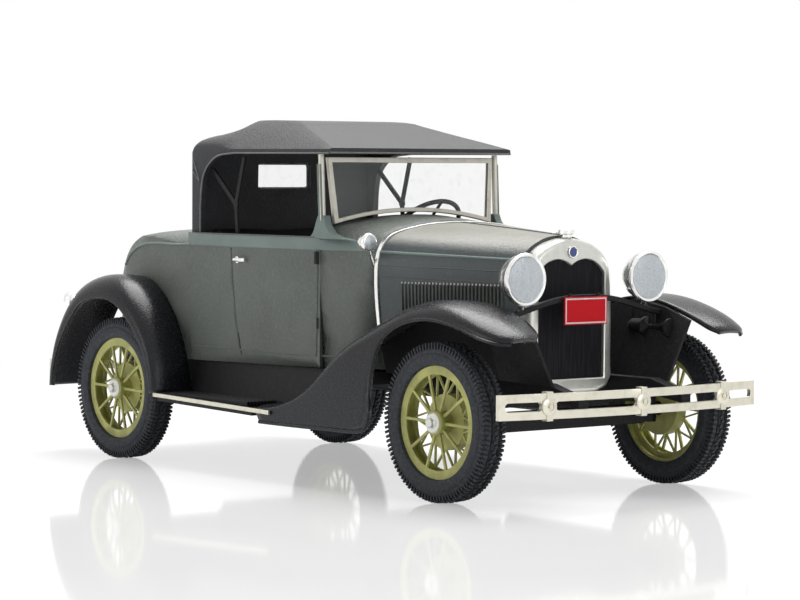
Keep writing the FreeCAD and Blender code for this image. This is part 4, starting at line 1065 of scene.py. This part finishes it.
def fender_row(station):
    """One crescent from the inner edge over the crown and shoulder to the lip."""
    crown_y, crown_z, lip_y, lip_z, inner_x, crown_x, outer_x, shoulder = station
    down = Vector((0, lip_y - crown_y, lip_z - crown_z))
    depth = down.length
    down.normalize()
    bend = min(shoulder, depth * 0.95)
    section = []
    for k in range(crown_steps):
        inward = 1 - k / crown_steps
        section.append((crown_x + (inner_x - crown_x) * inward, 0.14 * inward ** 2))
    for k in range(shoulder_steps + 1):
        turn = math.pi / 2 * k / shoulder_steps
        section.append((crown_x + (outer_x - crown_x) * math.sin(turn), bend * (1 - math.cos(turn))))
    for k in range(1, flank_steps + 1):
        section.append((outer_x, bend + (depth - bend) * k / flank_steps))
    return [at(x, crown_y + down.y * drop, crown_z + down.z * drop) for x, drop in section]


def make_fender(name, stations, node, side):
    rows = [fender_row(station) for station in smooth_rows(stations, 6)]
    lip_line = [row[-1] for row in rows]
    mesh = grid_mesh(rows)
    layer = mesh.verts.layers.float.new("lip")
    mesh.verts.ensure_lookup_table()
    columns = len(rows[0])
    for index, vert in enumerate(mesh.verts):
        column, row = index % columns, index // columns
        from_end = min(row, len(rows) - 1 - row)
        vert[layer] = max(0.0, 1 - (columns - 1 - column) / 2.0, 1 - from_end / 2.0)
    outward = sum((face.normal * face.calc_area() for face in mesh.faces), Vector())
    if outward.x < 0:
        bmesh.ops.reverse_faces(mesh, faces=mesh.faces)
    lip = pipe(lip_line, 0.1 * MM)
    if side < 0:
        mesh, lip = mirrored(mesh), mirrored(lip)
    made = piece(name, mesh, finish_named("fender"), replaced=[node], angle=60)
    thickened(made, details().skin)
    piece(name + "_lip", lip, finish_named("fender"))


# ---- wheels -------------------------------------------------------------------------------
tyre_radius, tyre_bore, tyre_width = 4.29, 3.02, 1.5
hub_profile = [
    (0, 0.56), (0.2, 0.56), (0.26, 0.5), (0.26, 0.3), (0.32, 0.26), (0.44, 0.24), (0.48, 0.2), (0.48, 0),
]
hub_face = 0.62
# rows of blocks: offset from the middle, depth below the tread, stagger, block size and slant
tread_rows = [
    (0.5, 0.11, 0.03, (0.3, 0.13, 0.13), 0.3), (-0.5, 0.11, -0.03, (0.3, 0.13, 0.13), -0.3),
    (0.63, 0.3, 0, (0.14, 0.11, 0.24), 0.0), (-0.63, 0.3, 0, (0.14, 0.11, 0.24), 0.0),
    (0.06, 0.05, -0.12, (0.2, 0.15, 0.08), 0.6),
]


def tyre_profile():
    """(across, radius) from the left bead over the ribbed tread to the right bead, and closed."""
    half = tyre_width / 2
    crown = tyre_radius - 0.13
    groove = crown - 0.09
    right = [
        (0.17, crown), (0.2, groove), (0.33, groove), (0.36, crown), (0.5, crown - 0.02), (half - 0.12, 3.95),
        (half - 0.04, 3.8), (half - 0.06, 3.7), (half - 0.02, 3.66), (half, 3.5), (half - 0.02, tyre_bore + 0.2),
        (0.68, tyre_bore + 0.06), (0.52, tyre_bore),
    ]
    left = [(-across, radius) for across, radius in right[::-1]]
    return left + right + left[:1]


def make_wheel(name):
    """One tyre with ribs and staggered tread blocks, and its etched wheel, riding together."""
    place = wheel_places["wheel_" + name]
    mesh = lathe([(x * MM, r * MM) for x, r in tyre_profile()], place, (1, 0, 0), 96)
    growth = tread_ring_tree()
    for offset, depth, stagger, size, slant in tread_rows:
        data = growth.grow("tread", {
            "Count": details().tread_blocks, "Radius": (tyre_radius - depth) * MM,
            "Block": tuple(part * MM for part in size), "Offset": offset * MM, "Stagger": stagger * MM,
            "Slant": slant, "Material": finish_named("tyre")})
        data.transform(Matrix.Translation(place))
        mesh.from_mesh(data)
        bpy.data.meshes.remove(data)
    for point in (vert.co for vert in mesh.verts):
        from_axle = Vector((0, point.y - place.y, point.z - place.z))
        if from_axle.length > tyre_radius * MM:
            from_axle.length = tyre_radius * MM
            point.y, point.z = place.y + from_axle.y, place.z + from_axle.z
    piece("tread_tyre_" + name, mesh, finish_named("tyre"), "wheel_" + name, ["tyre_" + name], 40)
    carried("spoke_wheel_" + name, finish_named("wheel"), bevel=0.025 * MM)
    side = 1 if place.x > 0 else -1
    face = place + Vector((side * hub_face * MM, 0, 0))
    hub = lathe([(along * MM, radius * MM) for along, radius in hub_profile], face, (side, 0, 0), 32)
    piece("hub_cap_" + name, hub, finish_named("shell"), "wheel_" + name)


# ---- front end and fittings ---------------------------------------------------------------
def make_radiator():
    carried("radiator_shell", finish_named("shell"), bevel=0.06 * MM)
    carried("radiator_core", finish_named("core"))
    carried("radiator_cap", finish_named("chrome"), bevel=0.04 * MM)
    carried("badge_disc", finish_named("badge"))
    low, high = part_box("badge_disc")
    centre = (low + high) / 2
    radius = (high.x - low.x) / 2
    ring = [Vector((centre.x + math.cos(turn) * radius, low.y, centre.z + math.sin(turn) * radius))
            for turn in np.linspace(0, 2 * math.pi, 33)]
    piece("badge_rim", pipe(ring, 0.04 * MM), finish_named("chrome"))


plate_half_wide, plate_half_high = 1.55, 0.745
cowl_lens_place = (6.95, -7.12, 13.6)
cowl_lens_profile = [(0, 0.4), (0.05, 0.3), (0.09, 0)]


def make_lamps():
    carried("headlamps", finish_named("chrome"), angle=40)
    carried("headlamp_lenses", finish_named("lens"), angle=50)
    for node in ("cowl_lamps", "tail_lamps"):
        carried(node, finish_named("chrome"), angle=40)
    carried("headlamp_bar", finish_named("gear"), bevel=0.05 * MM)
    carried("horn", finish_named("gear"), angle=40)
    low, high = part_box("licence_plate")
    centre = Vector(((low.x + high.x) / 2, low.y, low.z + plate_half_high * MM))
    enamel = plate_enamel(centre, plate_half_wide * MM, plate_half_high * MM)
    soften(carried("licence_plate", enamel), 0.02 * MM)
    lens_x, lens_y, lens_z = cowl_lens_place
    lenses = [lathe([(along * MM, radius * MM) for along, radius in cowl_lens_profile],
                    at(side * lens_x, lens_y, lens_z), (0, -1, 0), 24) for side in (1, -1)]
    piece("cowl_lamp_lenses", joined(lenses), finish_named("lens"))


bumper_half, bumper_bow, bumper_middle_z = 9.3, 0.95, 5.445
clamp_x = 6.32
boss_profile = [(0, 0.5), (0.08, 0.5), (0.14, 0.42), (0.16, 0.24), (0.1, 0.22), (0.1, 0.14), (0.2, 0.12), (0.2, 0)]


def make_bumpers():
    for node in ("front_bumper", "rear_bumpers", "board_strips"):
        carried(node, finish_named("strip"), bevel=0.03 * MM)
    front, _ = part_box("front_bumper")
    bosses = []
    for x in (-clamp_x, 0, clamp_x):
        place = at(x, 0, bumper_middle_z)
        place.y = front.y + bumper_bow * MM * (abs(x) / bumper_half) ** 2.2 + 0.02 * MM
        seat = place + Vector((0, 0.1 * MM, 0))
        bosses.append(lathe([(along * MM, radius * MM) for along, radius in boss_profile], seat, (0, -1, 0), 28))
    piece("bumper_bosses", joined(bosses), finish_named("strip"))


post_foot, post_head = (6.44, -2.2), (6.46, -2.0)
stripe_offsets = [(0.12, 0.16), (0.14, -0.1)]


def make_screen():
    carried("windscreen_frame", finish_named("screen"), bevel=0.03 * MM)
    carried("windscreen_glass", finish_named("pane"))
    posts, stripes = [], []
    for side in (1, -1):
        foot_x, foot_y = post_foot
        head_x, head_y = post_head
        posts.append(pipe([at(side * foot_x, foot_y, 13.7), at(side * head_x, head_y, 18.45)], 0.17 * MM, 12))
        for out, back in stripe_offsets:
            stripes.append(pipe([at(side * (foot_x + out), foot_y + back, 14.2),
                                 at(side * (head_x + out), head_y + back, 17.9)], 0.06 * MM, 8))
    piece("screen_posts", joined(posts), finish_named("screen"), replaced=["windscreen_posts"])
    piece("post_stripes", joined(stripes), finish_named("belt"))


def make_cabin():
    for node in ("seat_cushion", "seat_back"):
        carried(node, finish_named("cabin"), bevel=0.2 * MM)
    carried("dashboard", finish_named("cabin"), bevel=0.05 * MM)
    carried("steering_wheel", finish_named("gear"), angle=45)


board_rib_span, board_ribs = (7.25, 9.2), 9
board_rib_front_y, board_rib_rear_y = 1.2, 9.7


def make_gear():
    for node in ("front_axle", "rear_axle", "front_spring", "rear_spring", "chassis_frame", "running_boards",
                 "splash_aprons", "front_valances"):
        carried(node, finish_named("gear"), bevel=0.04 * MM)
    ribs = []
    for side in (1, -1):
        for x in np.linspace(*board_rib_span, board_ribs):
            low = at(side * x - 0.05, board_rib_front_y, 4.02)
            high = at(side * x + 0.05, board_rib_rear_y, 4.36)
            ribs.append(block(low, high, 0.02 * MM, 1))
    piece("board_ribs", joined(ribs), finish_named("gear"))


# ---- stage --------------------------------------------------------------------------------
camera_place = Vector((-0.10951, -0.13681, 0.01800))
camera_back = Vector((-0.6316, -0.7739, 0.0460))
camera_roll = math.radians(0.295)


def make_camera():
    data = bpy.data.cameras.new("camera")
    data.lens = 134.6
    data.sensor_width = 36.0
    data.shift_x = -0.01025
    data.shift_y = 0.0005
    data.clip_start = 0.01
    data.clip_end = 20
    camera = bpy.data.objects.new("camera", data)
    camera.location = camera_place
    camera.rotation_mode = "QUATERNION"
    roll = Matrix.Rotation(camera_roll, 3, "Z")
    camera.rotation_quaternion = ((-camera_back).to_track_quat("-Z", "Y").to_matrix() @ roll).to_quaternion()
    bpy.context.scene.collection.objects.link(camera)
    bpy.context.scene.camera = camera


def lamp(name, place, target, size, power, shade=(1, 1, 1)):
    data = bpy.data.lights.new(name, "AREA")
    data.shape = "RECTANGLE"
    data.size, data.size_y = size
    data.energy = power
    data.color = shade
    made = bpy.data.objects.new(name, data)
    made.location = place
    made.rotation_euler = (target - place).to_track_quat("-Z", "Y").to_euler()
    bpy.context.scene.collection.objects.link(made)


def make_world(ambient):
    """Soft light that is stronger from behind and above the car, before a plain white background."""
    world = bpy.data.worlds.new("studio")
    world.use_nodes = True
    nodes, links = world.node_tree.nodes, world.node_tree.links
    nodes.clear()
    path = nodes.new("ShaderNodeLightPath")
    seen = path.outputs["Is Camera Ray"]
    for ray in ("Is Glossy Ray", "Is Transmission Ray"):
        either = nodes.new("ShaderNodeMath")
        either.operation = "MAXIMUM"
        links.new(seen, either.inputs[0])
        links.new(path.outputs[ray], either.inputs[1])
        seen = either.outputs[0]
    direction = nodes.new("ShaderNodeTexCoord")
    facing = nodes.new("ShaderNodeVectorMath")
    facing.operation = "DOT_PRODUCT"
    facing.inputs[1].default_value = Vector((0.5, 0.66, 0.56)).normalized()
    links.new(direction.outputs["Generated"], facing.inputs[0])
    level = nodes.new("ShaderNodeMapRange")
    level.inputs[1].default_value = -0.1
    level.inputs[2].default_value = 0.75
    level.inputs[3].default_value = ambient * 0.3
    level.inputs[4].default_value = ambient * 2.2
    links.new(facing.outputs["Value"], level.inputs[0])
    soft = nodes.new("ShaderNodeBackground")
    soft.inputs[0].default_value = (1, 1, 1, 1)
    links.new(level.outputs[0], soft.inputs[1])
    white = nodes.new("ShaderNodeBackground")
    white.inputs[0].default_value = (1, 1, 1, 1)
    white.inputs[1].default_value = 1.0
    mixed = nodes.new("ShaderNodeMixShader")
    links.new(seen, mixed.inputs[0])
    links.new(soft.outputs[0], mixed.inputs[1])
    links.new(white.outputs[0], mixed.inputs[2])
    end = nodes.new("ShaderNodeOutputWorld")
    links.new(mixed.outputs[0], end.inputs[0])
    bpy.context.scene.world = world


def floor_material():
    """White gloss board near the car, fading to plain white before the horizon."""
    graph = Graph("floor_white")
    place = graph.add("ShaderNodeVectorMath", {"operation": "LENGTH"}, {0: graph.place})
    far = graph.stepped(Signal(graph, place.outputs["Value"]), 45.0, 95.0)
    graph.finish(Base_Color=(0.88, 0.88, 0.885), Roughness=0.06, Metallic=0.0)
    path = graph.add("ShaderNodeLightPath")
    seen = Signal(graph, path.outputs["Is Camera Ray"])
    for ray in ("Is Glossy Ray", "Is Transmission Ray"):
        seen = seen.most(path.outputs[ray])
    white = graph.add("ShaderNodeEmission", {}, {"Color": (1, 1, 1), "Strength": 1.0})
    either = graph.add("ShaderNodeMixShader", {}, {
        0: (far * 0.6 + 0.4) * seen, 1: graph.shader.outputs[0], 2: white.outputs[0]})
    graph.feed(graph.output.inputs["Surface"], either.outputs[0])
    return graph.material


def make_stage():
    settings = stage_settings()
    make_camera()
    make_world(settings.ambient)
    mesh = bmesh.new()
    bmesh.ops.create_grid(mesh, x_segments=1, y_segments=1, size=4.0)
    data = bpy.data.meshes.new("floor")
    mesh.to_mesh(data)
    mesh.free()
    data.materials.append(floor_material())
    floor = bpy.data.objects.new("floor", data)
    bpy.context.scene.collection.objects.link(floor)
    target = Vector((0, 0, 0.008))
    lamp("key", Vector((0.05, 0.04, 0.2)), target, (0.16, 0.16), settings.key_power)
    lamp("fill_left", Vector((-0.2, 0.05, 0.06)), target, (0.12, 0.1), settings.fill_power)
    lamp("fill_front", Vector((0.02, -0.22, 0.07)), target, (0.14, 0.08), settings.fill_power)
    bpy.context.scene.view_settings.view_transform = "Standard"


# ---- add-on -------------------------------------------------------------------------------
class RoadsterStep(bpy.types.Operator):
    """Shared shape of every step: build its pieces, or raise what went wrong"""
    bl_idname = "roadster.step"
    bl_label = "Step"

    def build(self):
        raise NotImplementedError

    def execute(self, context):
        self.build()
        return {"FINISHED"}


class BuildHood(RoadsterStep):
    """Build the hood with its beads and louvres"""
    bl_idname = "roadster.hood"
    bl_label = "Hood"

    def build(self):
        make_hood()


class BuildCowl(RoadsterStep):
    """Build the cowl and its bright band"""
    bl_idname = "roadster.cowl"
    bl_label = "Cowl"

    def build(self):
        make_cowl()


class BuildTub(RoadsterStep):
    """Build the body tub with its mouldings, handles and hinges"""
    bl_idname = "roadster.tub"
    bl_label = "Body tub"

    def build(self):
        make_tub()


class BuildTop(RoadsterStep):
    """Build the folding top and its rear window"""
    bl_idname = "roadster.top"
    bl_label = "Folding top"

    def build(self):
        make_top()


class BuildFenders(RoadsterStep):
    """Build the four fenders"""
    bl_idname = "roadster.fenders"
    bl_label = "Fenders"

    def build(self):
        for side_name, side in (("left", 1), ("right", -1)):
            make_fender("front_wing_" + side_name, front_fender_stations, "front_fender_" + side_name, side)
            make_fender("rear_wing_" + side_name, rear_fender_stations, "rear_fender_" + side_name, side)


class BuildWheels(RoadsterStep):
    """Build the tyres with their tread, the etched wheels and the hub caps"""
    bl_idname = "roadster.wheels"
    bl_label = "Wheels"

    def build(self):
        for name in ("front_left", "front_right", "rear_left", "rear_right"):
            make_wheel(name)


class BuildRadiator(RoadsterStep):
    """Build the radiator shell, core, cap and badge"""
    bl_idname = "roadster.radiator"
    bl_label = "Radiator"

    def build(self):
        make_radiator()


class BuildLamps(RoadsterStep):
    """Build the lamps, their bar, the horn and the plate"""
    bl_idname = "roadster.lamps"
    bl_label = "Lamps"

    def build(self):
        make_lamps()


class BuildBumpers(RoadsterStep):
    """Build the bumpers and the bright board strips"""
    bl_idname = "roadster.bumpers"
    bl_label = "Bumpers"

    def build(self):
        make_bumpers()


class BuildScreen(RoadsterStep):
    """Build the windscreen"""
    bl_idname = "roadster.screen"
    bl_label = "Windscreen"

    def build(self):
        make_screen()


class BuildCabin(RoadsterStep):
    """Build the seat, dashboard and steering wheel"""
    bl_idname = "roadster.cabin"
    bl_label = "Cabin"

    def build(self):
        make_cabin()


class BuildGear(RoadsterStep):
    """Build the axles, springs, chassis and running boards"""
    bl_idname = "roadster.gear"
    bl_label = "Running gear"

    def build(self):
        make_gear()


class BuildStage(RoadsterStep):
    """Build the floor, lights, background and camera"""
    bl_idname = "roadster.stage"
    bl_label = "Stage"

    def build(self):
        make_stage()


class RoadsterPanel(bpy.types.Panel):
    """Settings and steps in the sidebar"""
    bl_idname = "VIEW3D_PT_roadster"
    bl_label = "Roadster"
    bl_space_type = "VIEW_3D"
    bl_region_type = "UI"
    bl_category = "Roadster"

    def draw(self, context):
        for group in (paints(), details(), stage_settings()):
            box = self.layout.box()
            for name in group.__annotations__:
                box.prop(group, name)
        for step in steps:
            self.layout.operator(step.bl_idname)


steps = (BuildHood, BuildCowl, BuildTub, BuildTop, BuildFenders, BuildWheels, BuildRadiator, BuildLamps, BuildBumpers,
         BuildScreen, BuildCabin, BuildGear, BuildStage)
classes = (PaintSettings, DetailSettings, StageSettings) + steps + (RoadsterPanel,)


def register():
    for item in classes:
        bpy.utils.register_class(item)
    bpy.types.Scene.roadster_paint = PointerProperty(type=PaintSettings)
    bpy.types.Scene.roadster_detail = PointerProperty(type=DetailSettings)
    bpy.types.Scene.roadster_stage = PointerProperty(type=StageSettings)


def unregister():
    for name in ("roadster_paint", "roadster_detail", "roadster_stage"):
        delattr(bpy.types.Scene, name)
    for item in reversed(classes):
        bpy.utils.unregister_class(item)


def main():
    register()
    for step in steps:
        name = step.bl_idname.split(".")[1]
        getattr(bpy.ops.roadster, name)()


if __name__ == "__main__":
    main()
